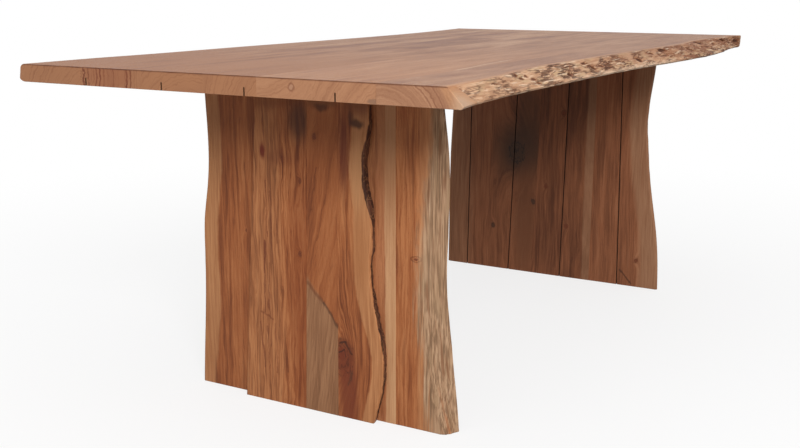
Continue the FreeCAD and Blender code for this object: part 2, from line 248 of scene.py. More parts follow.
world = bpy.data.worlds.new("studio_sky")
world.use_nodes = True
world.node_tree.nodes.clear()
sheet = Wire(world.node_tree)
seen = seen_directly(sheet)
up = sheet.node("ShaderNodeTexCoord", output="Generated")
rise = sheet.node("ShaderNodeSeparateXYZ", {0: up}, "Z")
low_sky, high_sky, plain_white = [white_light(sheet, "ShaderNodeBackground", strength)
                                  for strength in (LOW_SKY, HIGH_SKY, 1.0)]
sky = blend(sheet, rise.smooth(0.0, SKY_RISE), low_sky, high_sky)
blend(sheet, seen, sky, plain_white).ends_in("ShaderNodeOutputWorld", "Surface")
scene.world = world

lamp_data = bpy.data.lights.new("front_lamp", "AREA")
lamp_data.shape = "DISK"
lamp_data.size = 2.2
lamp_data.energy = LAMP_WATTS
lamp = new_object("front_lamp", lamp_data)
lamp.location = LAMP_PLACE
turn_toward(lamp, LAMP_TARGET - LAMP_PLACE)
print("lamp", LAMP_WATTS, "W")

# %% [markdown]
# ## Acacia: where a point lies
# Wood grain is a solid pattern, so a board is best painted in the tree's own directions: along the
# grain, across the face and through the thickness, all in millimetres. Slow noise stretched along
# the grain gives the wander that keeps any two lines from running parallel.

# %% Directions and wander
MM = 1000.0
SEED_STEP = 97.0


def in_millimetres(sheet):
    return sheet.node("ShaderNodeTexCoord", output="Object").stretched((MM, MM, MM))


def start_grain(name, look):
    """A new material that knows where a point lies in the board, and the wander of its grain there."""
    material, sheet = new_material(name)
    place = in_millimetres(sheet)
    x = sheet.node("ShaderNodeSeparateXYZ", {0: place})
    grain = SimpleNamespace(material=material, sheet=sheet, look=look, place=place, x=x)
    grain.across, grain.z = x.other("Y"), x.other("Z")
    grain.along, grain.depth = (x, grain.z) if look.grain == "X" else (grain.z, x)
    grain.drift = wander(grain, 150, 34)
    grain.sway = wander(grain, 70, 14)
    grain.ragged = wander(grain, 30, 8, 3, 0.6)
    grain.spot_u = grain.across + grain.ragged * 9 + grain.sway * 6
    grain.spot_v = grain.along + grain.drift * 18 + grain.sway * 10
    return grain


def wander(grain, length, width, detail=2.0, rough=0.5):
    """Noise from about -0.5 to 0.5, long along the grain and narrow across it."""
    scale = (1 / length, 1 / width, 1 / width)
    if grain.look.grain == "Z":
        scale = scale[::-1]
    seed = grain.look.seed * SEED_STEP
    shift = {0: grain.place, 1: (seed, seed * 0.7, seed * 1.3)}
    shifted = grain.sheet.node("ShaderNodeVectorMath", shift, operation="ADD")
    return shifted.stretched(scale).cloud(detail, rough) - 0.5


def from_middle(u, v, spot):
    """How far out a point lies in an ellipse, squared: 0 in its middle and 1 on its line."""
    middle_u, middle_v, half_u, half_v = spot
    side = (u - middle_u) / half_u
    way = (v - middle_v) / half_v
    return side * side + way * way


def soft_spot(grain, spot):
    """1 at the middle of a soft ellipse, falling to 0 outside it."""
    return (from_middle(grain.spot_u, grain.spot_v, spot) * -1).math("EXPONENT")


def profile(grain, points):
    """A value that goes smoothly from one (place along the board, value) to the next."""
    value = points[0][1]
    for (start, old), (end, new) in zip(points, points[1:]):
        value = grain.along.smooth(start, end) * (new - old) + value
    return value


def from_line(u, v, line):
    """The distance of a point on the face from a straight line between two points."""
    u0, v0, u1, v1 = line
    run_u, run_v = u1 - u0, v1 - v0
    reach = ((u - u0) * run_u + (v - v0) * run_v) / (run_u ** 2 + run_v ** 2)
    reach = reach.most(0).least(1)
    off_u = u - (reach * run_u + u0)
    off_v = v - (reach * run_v + v0)
    return (off_u * off_u + off_v * off_v) ** 0.5


# %% [markdown]
# ## Acacia: growth rings
# The rings lie round the tree's centre line, which may lean through the board. Their distance from
# it is the one number that everything else reads: on a side it makes streaks, on an end it makes
# arcs. A knot swells that number, so the rings flow round it as they do round a branch.

# %% Rings and knots
BOW_LENGTH = 330.0


def grow_rings(grain):
    look = grain.look
    pith_u, pith_w = look.pith
    lean_u, lean_w = look.lean
    wobble = look.wobble
    bow = (grain.along / BOW_LENGTH + look.seed * 3.7).ripple(1) - 0.5
    off_u = grain.across - pith_u - grain.along * lean_u + bow * look.bow
    off_w = grain.depth - pith_w - grain.along * lean_w
    ring = (off_u * off_u + off_w * off_w) ** 0.5
    ring = ring + grain.drift * wobble + grain.sway * (wobble * 1.1) + grain.ragged * 1.6
    grain.knot = None
    for middle_u, middle_v, size, pull in look.knots:
        ring = ring + soft_spot(grain, (middle_u, middle_v, size * 1.6, size * 3.2)) * (pull * size)
        core = soft_spot(grain, (middle_u, middle_v, size, size * 1.3))
        grain.knot = core if grain.knot is None else grain.knot.most(core)
    grain.ring = ring


def streak(grain, width, length, shift, detail=2.0, rough=0.5):
    """Noise that follows the rings and fades in and out along the grain."""
    seed = grain.look.seed * 7.0 + shift
    return grain.sheet.vector(grain.ring / width, grain.along / length, seed).cloud(detail, rough) - 0.5


# %% [markdown]
# ## Acacia: colour
# Acacia runs from straw to red brown. Wide bands and fine lines of the ring noise are added to the
# fibre noise, and a colour ramp turns the sum into wood. Darker late wood, long vessels and open
# pores, which are short dark dashes, go on top. On some boards of the top the near end is painted
# warmer: painted sheen, standing in for the grazing sheen that turns the far end greyer.

# %% Heartwood
PORE_SHARE = 0.28


def tint(grain, colour, share):
    grain.colour = grain.colour.toward(colour, share)


def heart_colour(grain):
    look = grain.look
    k_band, k_line, k_fibre, k_blotch = look.contrast
    grain.line = streak(grain, look.line, 170, 3, 3, 0.65)
    grain.fibre = wander(grain, 90, 2.2, 3, 0.6)
    grain.blotch = wander(grain, 260, 46)
    tone = streak(grain, look.band, 420, 0) * k_band + grain.line * k_line
    tone = tone + grain.fibre * k_fibre + grain.blotch * k_blotch + (0.5 + look.lift)
    dark, mid, pale = look.colours
    grain.colour = tone.ramp((0.12, dark), (0.5, mid), (0.86, pale))
    late = streak(grain, look.line * 1.6, 240, 11, 1).smooth(0.07, 0.22)
    tint(grain, dark, late * look.late)
    vessel = streak(grain, 5, 60, 23, 2).smooth(0.10, 0.24)
    vessel = vessel * wander(grain, 160, 16).smooth(-0.1, 0.15)
    tint(grain, dark, vessel * look.vessels)
    grain.pores = wander(grain, 9, 0.9, 1).smooth(0.10, 0.22)
    tint(grain, dark, grain.pores * PORE_SHARE)
    # painted sheen: a warmer tone toward one end, standing in for the grazing sheen that greys the far
    # end of the top
    if look.warm:
        start, end, hue, share = look.warm
        tint(grain, hue, grain.along.smooth(start, end) * share * (tone * 0.6 + 0.7))


# %% [markdown]
# ## Acacia: sapwood
# The outer years of the tree stay pale. On a board they show as a band along the natural edge, a
# stripe between two places across it, or a corner below a slanting line.

# %% Sapwood
def lay_sapwood(grain):
    look = grain.look
    low, high = look.sap_colours
    tone = grain.line * 1.2 + grain.fibre * 0.8 + grain.blotch * 0.5 + 0.5
    sap = tone.ramp((0.2, low), (0.75, high))
    loose = grain.drift * 18 + grain.ragged * 7
    for kind, numbers, share in look.sap:
        if kind == "rim":
            points, soft = numbers
            mask = (grain.rim + loose - profile(grain, points)).smooth(soft, -soft)
        elif kind == "across":
            low_u, high_u, soft = numbers
            shifted = grain.across + loose * 0.6
            mask = shifted.smooth(low_u, low_u + soft) * shifted.smooth(high_u, high_u - soft)
        else:
            (u0, v0), (u1, v1), (u2, v2), soft = numbers
            height = grain.along + loose * 1.5
            first = height - (grain.across - u0) * ((v1 - v0) / (u1 - u0)) - v0
            second = height - (grain.across - u1) * ((v2 - v1) / (u2 - u1)) - v1
            mask = first.smooth(soft + 16, -4) * second.smooth(soft, -soft)
        tint(grain, sap, mask * share)


# %% [markdown]
# ## Acacia: sawn ends and marks
# A sawn end drinks more oil and looks duller, and its rings show as thin lines and arcs. Stains, dark
# veins, cracks, eyes and knots are then placed one by one, where this table has them. A few of the
# stains on the near leg are painted shadow under the top, and the slot of a relief cut gets painted
# shade.

# %% Ends and marks
top_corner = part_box("top_board_3")[1]
TOP_END, TOP_FACE = top_corner.x * MM, top_corner.z * MM
ARRIS_IN, ARRIS_OUT = 3.4, 1.2


def face_end(grain):
    """The sawn end of a top board: a duller tone, thin ring lines, arcs and spots placed by height."""
    look = grain.look
    tone, share = look.end
    grain.out = abs(grain.x)
    on_end = grain.out.smooth(TOP_END - 1.0, TOP_END - 0.2)
    tint(grain, tone, on_end * share)
    line = (grain.ring / 5 + grain.sway * 1.5).ripple(1).smooth(0.50, 0.70)
    line = line * (wander(grain, 50, 26) * 1.6 + 0.55)
    tint(grain, look.colours[0], line * on_end * look.end_lines)
    for radius, half, share in look.end_arcs:
        arc = abs(grain.ring + grain.ragged * 5 - radius).smooth(half, half * 0.3)
        tint(grain, MAROON, arc * on_end * share)
    for end_spot, hue, share in look.end_spots:
        out = from_middle(grain.across + grain.ragged * 8, grain.z + grain.ragged * 5, end_spot)
        tint(grain, hue, out.smooth(1.3, 0.6) * on_end * share)


def wear_arris(grain):
    """The darker, worn corner between a sawn end and the upper face."""
    worn = grain.out.smooth(TOP_END - ARRIS_IN, TOP_END - ARRIS_OUT)
    worn = worn * grain.z.smooth(TOP_FACE - ARRIS_IN, TOP_FACE - ARRIS_OUT)
    tint(grain, ARRIS, worn * (wander(grain, 60, 40) + 0.75))


def mark_board(grain):
    look = grain.look
    # some of these stains, on the near leg, are painted shadow under the top
    for stain_spot, stain, share in look.stains:
        tint(grain, stain, soft_spot(grain, stain_spot).smooth(0.05, 0.85) * share)
    for eye, heart in look.eyes:
        out = from_middle(grain.across + grain.ragged * 5, grain.along + grain.ragged * 5, eye) ** 0.5
        tint(grain, HEART_DARK, abs(out - 1).smooth(0.34, 0.10) * 0.6)
        tint(grain, heart, out.smooth(0.66, 0.3) * 0.8)
    if grain.knot is not None:
        heart, ring, share = look.knot_colours
        tint(grain, heart, grain.knot.smooth(0.10, 0.75) * share)
        arcs = (grain.knot * 6 + grain.ragged * 5 + look.seed).ripple(2).smooth(0.50, 0.68)
        tint(grain, ring, arcs * grain.knot.smooth(0.06, 0.35) * share)
    for line, half, stain, share in look.veins:
        bent_u = grain.across + grain.ragged * 12 + grain.sway * 14
        gap = from_line(bent_u, grain.along + grain.drift * 20, line)
        tint(grain, stain, gap.smooth(half, half * 0.15) * share)
    # painted shade inside the slot of the relief cut
    if look.kerf:
        line, face_at, inward = look.kerf
        inside = ((grain.depth - face_at) * inward).smooth(18, 15)
        slot_shade = from_line(grain.across, grain.along, line).smooth(2.1, 1.4)
        tint(grain, KERF_SHADE, slot_shade * inside * 0.85)


# %% [markdown]
# ## Acacia: the bare skin
# Past the rim of a natural edge there is no sawn face, only the surface that lay under the bark. It
# is combed along the grain, flecked, and dark in its hollows, a dark that is partly the wood's own and
# partly painted shade. The two numbers stored on the mesh say where it starts and how deep a point
# lies in a hollow, which sets its dark. A wane lets it run over onto the sawn face. Worm tracks are
# thin lines where a noise is level, with pale crests between them that are painted highlights, as is
# the lighter middle of the lower rim.

# %% Skin
def skin_share(grain, skin):
    """1 on bare skin and 0 on sawn wood."""
    soft = skin.soft
    side = grain.rim + grain.ragged * skin.ragged - profile(grain, skin.start)
    side = side.smooth(soft, -soft)
    if skin.wane:
        points, face_at = skin.wane
        loose = grain.drift * 12 + wander(grain, 190, 5) * 75 + grain.sway * 10
        waned = (grain.across + loose - profile(grain, points)).smooth(9, -16)
        side = side.most(waned * grain.depth.smooth(face_at + 14, face_at + 8))
        back = grain.depth.smooth(face_at + 16, face_at + 26) * grain.rim.smooth(2, -1)
        side = side.most(back)
    return side


def worm_tracks(grain, skin, side):
    """Dark tracks and strands, which grow denser toward the far end, and pale crests that are painted
    highlights, as is the lighter lower rim in the middle of the board.
    """
    shallow, deep = skin.pits
    few, many = skin.worms
    crowd = wander(grain, 80, 20).smooth(-0.09, 0.07) * (grain.along.smooth(few, many) * 0.4 + 0.6)
    for length, width in ((62, 8), (36, 5)):
        track = abs(wander(grain, length, width, 1)).smooth(0.085, 0.030) * crowd
        tint(grain, deep, track * side * 0.9)
        grain.height = grain.height - track * side * 1.6
    strand = wander(grain, 110, 4, 3, 0.65).smooth(0.05, 0.14) * grain.along.smooth(150, 650)
    tint(grain, shallow, strand * side * 0.75)
    older = grain.along.smooth(-600, 200)
    tint(grain, shallow, older * grain.z.smooth(744, 770) * side * 0.42)
    # painted highlight along the lower rim in the middle, which faces down and would lie in shade
    middle = grain.along.smooth(-500, -200) * grain.along.smooth(350, 50)
    tint(grain, CREST_HIGHLIGHT, middle * grain.z.smooth(756, 745) * side * 0.5)
    # painted highlights on the crests between the tracks
    crest_highlight = wander(grain, 70, 5, 2).smooth(0.08, 0.20)
    tint(grain, CREST_HIGHLIGHT, crest_highlight * side * 0.6)


def dress_skin(grain):
    skin = SimpleNamespace(**{**PLAIN_SKIN, **grain.look.skin})
    low, mid, high = skin.tones
    shallow, deep = skin.pits
    side = skin_share(grain, skin)
    ridge = wander(grain, 90, 5, 3, 0.65)
    tone = ridge + wander(grain, 60, 16) * 0.5 + 0.5
    bare = tone.ramp((0.24, low), (0.5, mid), (0.76, high))
    bare = bare.toward(skin.patch, wander(grain, 90, 22).smooth(0, 0.16) * 0.65)
    bare = bare.toward(low, wander(grain, 130, 2.6).smooth(0, 0.12) * skin.lines)
    fleck = wander(grain, skin.fleck, 3.2, 3, 0.6).smooth(0.09, 0.17)
    tint(grain, bare, side * skin.share)
    tint(grain, shallow, fleck * side * skin.flecks)
    if skin.worms:
        worm_tracks(grain, skin, side)
    # the dark of the hollows: partly the wood's own, partly painted shade
    if skin.pitted:
        tint(grain, shallow, grain.pit.smooth(0.10, 0.45) * side * 0.75)
        tint(grain, deep, grain.pit.smooth(0.45, 0.95) * side * 0.9)
    grain.rough = grain.rough + side * 0.2
    grain.height = grain.height + ridge * side * 2 - fleck * side * 0.9


# %% [markdown]
# ## Acacia: the finish
# The wood has the low sheen of oil rather than varnish, and is rougher in its pores than on its fibres.
# All the steps above come together here, in the order in which they cover one another.

# %% Finish
WOOD_RELIEF = {"Strength": 0.45, "Distance": 0.0006}


def close_material(sheet, relief, height, sockets):
    """The relief and the shader that end a material."""
    bump = sheet.node("ShaderNodeBump", {**relief, "Height": height})
    face = sheet.node("ShaderNodeBsdfPrincipled", {**sockets, "Normal": bump})
    face.ends_in("ShaderNodeOutputMaterial", "Surface")


def acacia(name, look):
    look = SimpleNamespace(**{**PLAIN_LOOK, **look})
    grain = start_grain(name, look)
    if look.skin:
        grain.rim = grain.sheet.node("ShaderNodeAttribute", None, "Fac", attribute_name="rim")
        grain.pit = grain.sheet.node("ShaderNodeAttribute", None, "Fac", attribute_name="pit")
    grow_rings(grain)
    heart_colour(grain)
    lay_sapwood(grain)
    if look.end:
        face_end(grain)
    mark_board(grain)
    grain.rough = 0.46 + grain.fibre * 0.16 + grain.pores * 0.12
    grain.height = grain.fibre * 0.5 - grain.pores * 0.6
    if look.skin:
        dress_skin(grain)
    if look.end:
        wear_arris(grain)
    sockets = {"Base Color": grain.colour, "Roughness": grain.rough, "IOR": 1.45,
               "Specular IOR Level": look.shine}
    close_material(grain.sheet, WOOD_RELIEF, grain.height, sockets)
    return grain.material


# %% [markdown]
# ## What every board starts from
# These are the colours of the wood under white light, with a few that are painted shade or a painted
# highlight, and the values that a board or a skin keeps unless it is given its own. The look of a board
# is then a short list of what makes it different. Places are in millimetres, across and then along the
# board. A stain, eye or spot is an ellipse with a middle and two half widths, a vein is a line with a
# half width, and a knot is a middle, a size and its pull on the rings. On the near leg a few stains are
# painted shadow under the top. Stains, spots and veins end in the share of their colour that is laid
# on. A list of pairs is a value that changes along the board: a place, and the value there.

# %% Colours and plain looks
HEART_DARK, HEART_MID, HEART_PALE = (0.13, 0.034, 0.013), (0.325, 0.104, 0.036), (0.46, 0.178, 0.068)
SAP_DARK, SAP_PALE = (0.38, 0.155, 0.062), (0.52, 0.255, 0.115)
KNOT, KNOT_HEART = (0.040, 0.014, 0.008), (0.17, 0.045, 0.020)
# these darken worm tracks, strands and flecks, and also the hollows, where they are partly painted shade
PIT, PIT_RIM = (0.055, 0.023, 0.011), (0.22, 0.098, 0.047)
# the first colour below is painted shade for the slots of the relief cuts, the second the worn corner of
# a sawn end
KERF_SHADE, ARRIS = (0.030, 0.014, 0.008), (0.12, 0.044, 0.025)
# the second colour below is a smoky dark for cracks and dark zones, also used as painted shadow under the
# top of the near leg
MAROON, SMOKE_AND_SHADE = (0.115, 0.022, 0.012), (0.075, 0.030, 0.016)
# a painted highlight, for the crests and the lower rim of the pitted skin
CREST_HIGHLIGHT = (0.86, 0.66, 0.48)

PLAIN_LOOK = dict(
    # the direction of the grain, the place of the tree's centre line, and how the rings wander
    grain="Z", seed=0, pith=(0, 0), lean=(0, 0), bow=14, wobble=8,
    # widths of bands and lines, then the strength of bands, lines, fibres and blotches
    band=26, line=5.5, contrast=(0.75, 1.2, 0.6, 0.4), lift=0, late=0.45, vessels=0.5,
    colours=(HEART_DARK, HEART_MID, HEART_PALE), warm=None, shine=0.2,
    # sapwood and marks
    sap=[], sap_colours=(SAP_DARK, SAP_PALE), knots=[], knot_colours=(KNOT_HEART, KNOT, 0.85),
    eyes=[], stains=[], veins=[], kerf=None, skin=None,
    # the sawn ends of the top
    end=None, end_lines=0.5, end_arcs=[], end_spots=[],
)
PLAIN_SKIN = dict(
    # where the skin starts, counted from the rim, and how soft and ragged that line is
    start=[(0, 0)], soft=1, ragged=0, wane=None,
    # dark lines, the length of the flecks and their strength, pits and worm tracks
    lines=0.2, fleck=50, flecks=0.2, pitted=False, pits=(PIT_RIM, PIT), worms=None,
)
print("values in a board's look:", len(PLAIN_LOOK))

# %% [markdown]
# ## Plain boards
# A plain board is the construction solid with its sharp corners eased. The copy is merged first,
# because the frame's mesh is loose triangles, then flat areas are joined and a fine bevel is run
# round every edge, which is what leaves a thin line at each glue joint.

# %% A board with eased corners
SHARP_TURN = math.radians(32.0)
FLAT_TURN = math.radians(0.5)


def settle(piece, node, material):
    piece.data.materials.clear()
    piece.data.materials.append(material)
    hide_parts(node)
    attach(piece, "root")


def baked(piece):
    """Turn a piece's modifiers into a plain mesh."""
    graph = bpy.context.evaluated_depsgraph_get()
    piece.data = bpy.data.meshes.new_from_object(piece.evaluated_get(graph))
    piece.modifiers.clear()
    return piece


def merged_copy(node):
    work = bmesh.new()
    work.from_mesh(nodes[node].data)
    bmesh.ops.remove_doubles(work, verts=work.verts, dist=1e-5)
    return work


def eased_copy(node, width):
    work = merged_copy(node)
    bmesh.ops.dissolve_limit(work, angle_limit=FLAT_TURN, verts=work.verts, edges=work.edges)
    mesh = bpy.data.meshes.new(node + "_eased")
    work.to_mesh(mesh)
    work.free()
    mesh.shade_smooth()
    piece = new_object(node + "_eased", mesh)
    bevel = piece.modifiers.new("eased", "BEVEL")
    bevel.width = width
    bevel.segments = 2
    bevel.limit_method = "ANGLE"
    bevel.angle_limit = SHARP_TURN
    piece.modifiers.new("flat_faces", "WEIGHTED_NORMAL")
    return baked(piece)


# %% [markdown]
# ## Relief cuts
# A slot is sawn into the hidden face of most boards, so that they stay flat. It shows as a dark line
# on the far leg and in the end of the top, and the material deepens it with painted shade in the slot.
# The solid already has it; here its place is read from the solid's corners, for the material and for
# the boards that are drawn again.

# %% Finding a relief cut
ACROSS = 1
KERF_DEPTH = 0.016
KERF_HALF = 0.00125
SAME_PLACE = 1e-4


def kerf_centres(node, along):
    """Which face has the relief cut, 0 for the lower and 1 for the upper, and its place at both ends."""
    depth = 2 - along
    low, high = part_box(node)
    for face, inward in ((0, 1), (1, -1)):
        floor_at = (low, high)[face][depth] + inward * KERF_DEPTH
        on_floor = [corner.co for corner in nodes[node].data.vertices
                    if abs(corner.co[depth] - floor_at) < SAME_PLACE]
        places = []
        for end in (low[along], high[along]):
            found = [point[ACROSS] for point in on_floor if abs(point[along] - end) < SAME_PLACE]
            if found:
                places.append(sum(found) / len(found))
        if len(places) == 2:
            return face, places[0], places[1]
    return None


def kerf_mark(node, along):
    """The same cut in millimetres, as the material wants it for the painted shade in its slot."""
    kerf = kerf_centres(node, along)
    if kerf is None:
        return None
    low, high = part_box(node)
    face, foot, head = kerf
    line = (foot * MM, low[along] * MM, head * MM, high[along] * MM)
    return line, (low, high)[face][2 - along] * MM, 1.0 - 2.0 * face


# %% [markdown]
# ## Boards with a natural edge
# The natural edge is too irregular for a bevel: it is a skin full of hollows, ridges and worm tracks.
# So these boards are drawn again as a fine net of points. Rays cast at the construction solid find
# its edge at each station, so the net follows the solid, and then the skin is pushed in by noise.

# %% Small helpers for the net
RAY_START = 3.0
RAY_INSET = 2e-5


def soft_step(low, high, value):
    share = min(max((value - low) / (high - low), 0.0), 1.0)
    return share * share * (3.0 - 2.0 * share)


def rounding(gap, radius):
    """How far a rounded corner lies in, at a gap from the face."""
    return radius - math.sqrt(radius ** 2 - (radius - gap) ** 2) if gap < radius else 0.0


def shrink_loop(loop, amount):
    """A section drawn in by an amount all round, for the eased ends of a board."""
    count = len(loop)
    pairs = [(loop[i], loop[(i + 1) % count]) for i in range(count)]
    area = sum(here[0] * after[1] - after[0] * here[1] for here, after in pairs)
    turn = amount if area > 0 else -amount
    drawn = []
    for i, here in enumerate(loop):
        before, after = loop[i - 1], loop[(i + 1) % count]
        run = Vector((after[0] - before[0], after[1] - before[1])).normalized()
        drawn.append((here[0] - run.y * turn, here[1] + run.x * turn, here[2], here[3]))
    return drawn


class Probe:
    """Finds the surface of a CAD node from either side, at a place along it and through it."""

    def __init__(self, node, along):
        mesh = nodes[node].data
        self.solid = BVHTree.FromPolygons([corner.co for corner in mesh.vertices],
                                          [face.vertices[:] for face in mesh.polygons])
        self.along = along
        self.depth = 2 - along
        self.low, self.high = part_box(node)

    def reach(self, side, s, d):
        start = Vector((0.0, RAY_START * side, 0.0))
        for axis, value in ((self.along, s), (self.depth, d)):
            start[axis] = min(max(value, self.low[axis] + RAY_INSET), self.high[axis] - RAY_INSET)
        return self.solid.ray_cast(start, Vector((0.0, -side, 0.0)))[0][ACROSS]


# %% [markdown]
# ## Sections of the net
# One section is a loop round the board: along one face, round the natural edge, back along the other
# face. Each point is its place across and through the board, with the two numbers for the material:
# how far it is from the rim of the natural edge, and how deep it lies in a hollow, which the material
# turns into a dark that is partly painted shade.

# %% Sections
FACE_POINTS = 12
OUTER_POINTS, INNER_POINTS = 9, 5
IN_KERF = 60.0
SANDED = 6.0
RIM_HOLD = 0.004


def face_row(end, joint, d, kerf_at, floor_at, side):
    """Points across a face, from the rim of the natural edge to the glue joint, round any relief cut."""
    if kerf_at is None:
        reach = [end + (joint - end) * (i / (FACE_POINTS - 1)) ** 1.8 for i in range(1, FACE_POINTS)]
        return [(a, d, abs(a - end) * MM, 0.0) for a in reach]
    lips = [kerf_at + side * KERF_HALF, kerf_at - side * KERF_HALF]
    outer = [end + (lips[0] - end) * ((i + 1) / OUTER_POINTS) ** 1.5 for i in range(OUTER_POINTS)]
    inner = [lips[1] + (joint - lips[1]) * i / (INNER_POINTS - 1) for i in range(INNER_POINTS)]
    row = [(a, d, abs(a - end) * MM, 0.0) for a in outer]
    row += [(lip, floor_at, IN_KERF, 0.0) for lip in lips]
    return row + [(a, d, abs(a - end) * MM, 0.0) for a in inner]


def section(probe, s, side, skin, ease, hold, points, kerf):
    """One loop round the board: front face, natural edge, back face."""
    front, back = probe.low[probe.depth], probe.high[probe.depth]
    first, last = probe.low[probe.along], probe.high[probe.along]
    joint = probe.reach(-side, s, (front + back) / 2)
    edge = []
    for i in range(points):
        even = i / (points - 1)
        d = front + (back - front) * (0.5 * even + 0.25 - 0.25 * math.cos(math.pi * even))
        gap = min(d - front, back - d)
        push, pit, bare = skin(s * MM, d * MM)
        push = push * (hold + (1.0 - hold) * soft_step(0.0, RIM_HOLD, gap)) / MM
        push += rounding(d - front, ease[0]) + rounding(back - d, ease[1])
        rim = SANDED * (1.0 - bare) - gap * MM * bare
        edge.append((probe.reach(side, s, d) - side * push, d, rim, pit))
    places = [None, None]
    if kerf:
        places[kerf[0]] = kerf[1] + (kerf[2] - kerf[1]) * (s - first) / (last - first)
    front_row = face_row(edge[0][0], joint, front, places[0], front + KERF_DEPTH, side)
    back_row = face_row(edge[-1][0], joint, back, places[1], back - KERF_DEPTH, side)
    return front_row[::-1] + edge + back_row


# %% [markdown]
# ## The net
# The sections are set one behind the other and joined by four-sided faces. The first and the last are
# drawn in a little over three steps, so that the ends are eased like those of the plain boards.

# %% Draping a board
END_EASE = 0.0012
EASE_STEPS = [(0.0, END_EASE), (END_EASE * 0.3, END_EASE * 0.3), (END_EASE, 0.0)]
NET_TURN = math.radians(48.0)


def drape_board(node, along, side, skin, ease, step, points, hold):
    probe = Probe(node, along)
    kerf = kerf_centres(node, along)
    first, last = probe.low[along], probe.high[along]
    count = int((last - first) / step)
    rows = []
    for i in range(count + 1):
        s = first + (last - first) * i / count
        loop = section(probe, s, side, skin, ease, hold, points, kerf)
        if i == 0:
            rows += [(s + move, shrink_loop(loop, draw)) for move, draw in EASE_STEPS]
        elif i == count:
            rows += [(s - move, shrink_loop(loop, draw)) for move, draw in EASE_STEPS[::-1]]
        else:
            rows.append((s, loop))
    return net_piece(node, rows, along)


def net_piece(node, rows, along):
    size = len(rows[0][1])
    points = [(s, a, d) if along == 0 else (d, a, s) for s, loop in rows for a, d, rim, pit in loop]
    faces = [list(range(size)), list(range(len(points) - size, len(points)))]
    for row in range(len(rows) - 1):
        for i in range(size):
            here, after = row * size + i, row * size + (i + 1) % size
            faces.append([here, here + size, after + size, after])
    mesh = bpy.data.meshes.new(node + "_skin")
    mesh.from_pydata(points, [], faces)
    for column, name in ((2, "rim"), (3, "pit")):
        values = [point[column] for s, loop in rows for point in loop]
        mesh.attributes.new(name, "FLOAT", "POINT").data.foreach_set("value", values)
    work = bmesh.new()
    work.from_mesh(mesh)
    bmesh.ops.recalc_face_normals(work, faces=work.faces)
    work.to_mesh(mesh)
    work.free()
    mesh.shade_smooth()
    mesh.set_sharp_from_angle(angle=NET_TURN)
    print(node, "net of", len(rows), "by", size, "points")
    piece = new_object(node + "_skin", mesh)
    piece.modifiers.new("flat_faces", "WEIGHTED_NORMAL").keep_sharp = True
    return baked(piece)


# %% [markdown]
# ## The pitted skin of the top
# The right side of the top is the wildest edge: long gouges that follow the grain, worm tracks, and a
# few large hollows, set one by one. Its function says how far the skin lies in, how dark its hollow
# is, and whether it is bare at all: near the ends of the top the corner has been sanded smooth. The
# dark of the hollows and of the fold valleys is partly the wood's own and partly painted shade.

# %% Pitted skin
# each hollow: place along the top, height, half length, half height, depth, in millimetres
TOP_HOLLOWS = [
    (-962, 774, 14, 2.6, 3), (-948, 757, 20, 2.6, 3), (-822, 769, 16, 2.4, 3), (-690, 776, 12, 3.4, 4),
    (-668, 769, 18, 3, 4), (-640, 771, 14, 2.6, 3.5), (-606, 763, 20, 3.2, 4), (-588, 755, 12, 3, 3.5),
    (-414, 756, 15, 5, 6), (-307, 773, 13, 4, 5), (-271, 761, 20, 4, 5), (-228, 763, 16, 3, 4),
    (29, 760, 18, 4.5, 6), (130, 770, 18, 3, 4), (228, 773, 30, 5, 8), (420, 766, 26, 3, 4),
    (500, 758, 22, 3, 4), (580, 775, 42, 3.6, 6), (705, 767, 26, 3, 4), (820, 772, 24, 4, 5),
    (955, 765, 24, 8, 5),
]
SLANT = 0.10
HOLLOW_REACH = 6.0


def pitted_skin(s, d):
    bend_s = s + 14.0 * noise.noise((s / 48.0, d / 20.0, 2.2))
    bend_d = d + 6.0 * noise.noise((s / 36.0, d / 18.0, 9.1))
    age = soft_step(-820.0, -300.0, s)
    crowd = soft_step(-0.28, 0.22, noise.noise((s / 80.0, d / 26.0, 5.2)))
    slant = bend_d + SLANT * max(0.0, s - 200.0)
    fold_length = 46.0 + 40.0 * soft_step(200.0, 500.0, s)
    fold = noise.noise((bend_s / fold_length, slant / 6.5, 8.4))
    dash = soft_step(0.12, 0.26, noise.noise((bend_s / 26.0, bend_d / 3.3, 1.7)))
    worm = 1.0 - soft_step(0.01, 0.08, abs(noise.noise((bend_s / 32.0, bend_d / 6.5, 4.4))))
    gouge = dash * crowd * (0.5 + 0.5 * age)
    track = worm * crowd * (0.25 + 0.75 * age)
    rippled = soft_step(60.0, 480.0, s)
    # dark of the gouges and tracks, and painted shade in the fold valleys; the hollows below add their
    # own dark and painted shade
    pit = max(0.32 * gouge, 0.3 * track, 0.6 * rippled * soft_step(0.08, 0.24, fold))
    deep = 1.8 * gouge + 1.2 * track
    for middle_s, middle_d, half_s, half_d, low in TOP_HOLLOWS:
        way = ((bend_s - middle_s) / half_s) ** 2
        way += ((bend_d - middle_d + SLANT * (bend_s - middle_s)) / half_d) ** 2
        if way < HOLLOW_REACH:
            hollow = math.exp(-way)
            deep += low * hollow
            pit = max(pit, (0.5 + 0.08 * low) * soft_step(0.30, 0.80, hollow))
    start = -973.0 + 1.5 * (779.0 - d)
    bare = soft_step(start - 8.0, start + 8.0, s) * soft_step(998.0, 985.0, s)
    spread = noise.noise((s / 90.0, d / 50.0, 3.1))
    push = (1.0 + 3.0 * rippled) * spread + (0.7 + 1.5 * age + 1.8 * rippled) * fold + deep - 1.0
    return push * (0.2 + 0.8 * bare), pit * bare, bare


# %% [markdown]
# ## The other skins
# The left side of the top and of the legs is worn round and smooth, the right side of a leg is combed
# into upright ridges, darker in its gouges partly as painted shade, and the board on the face of a leg
# keeps lumps of bark in a dark seam, whose dark is partly bark and partly painted shade.

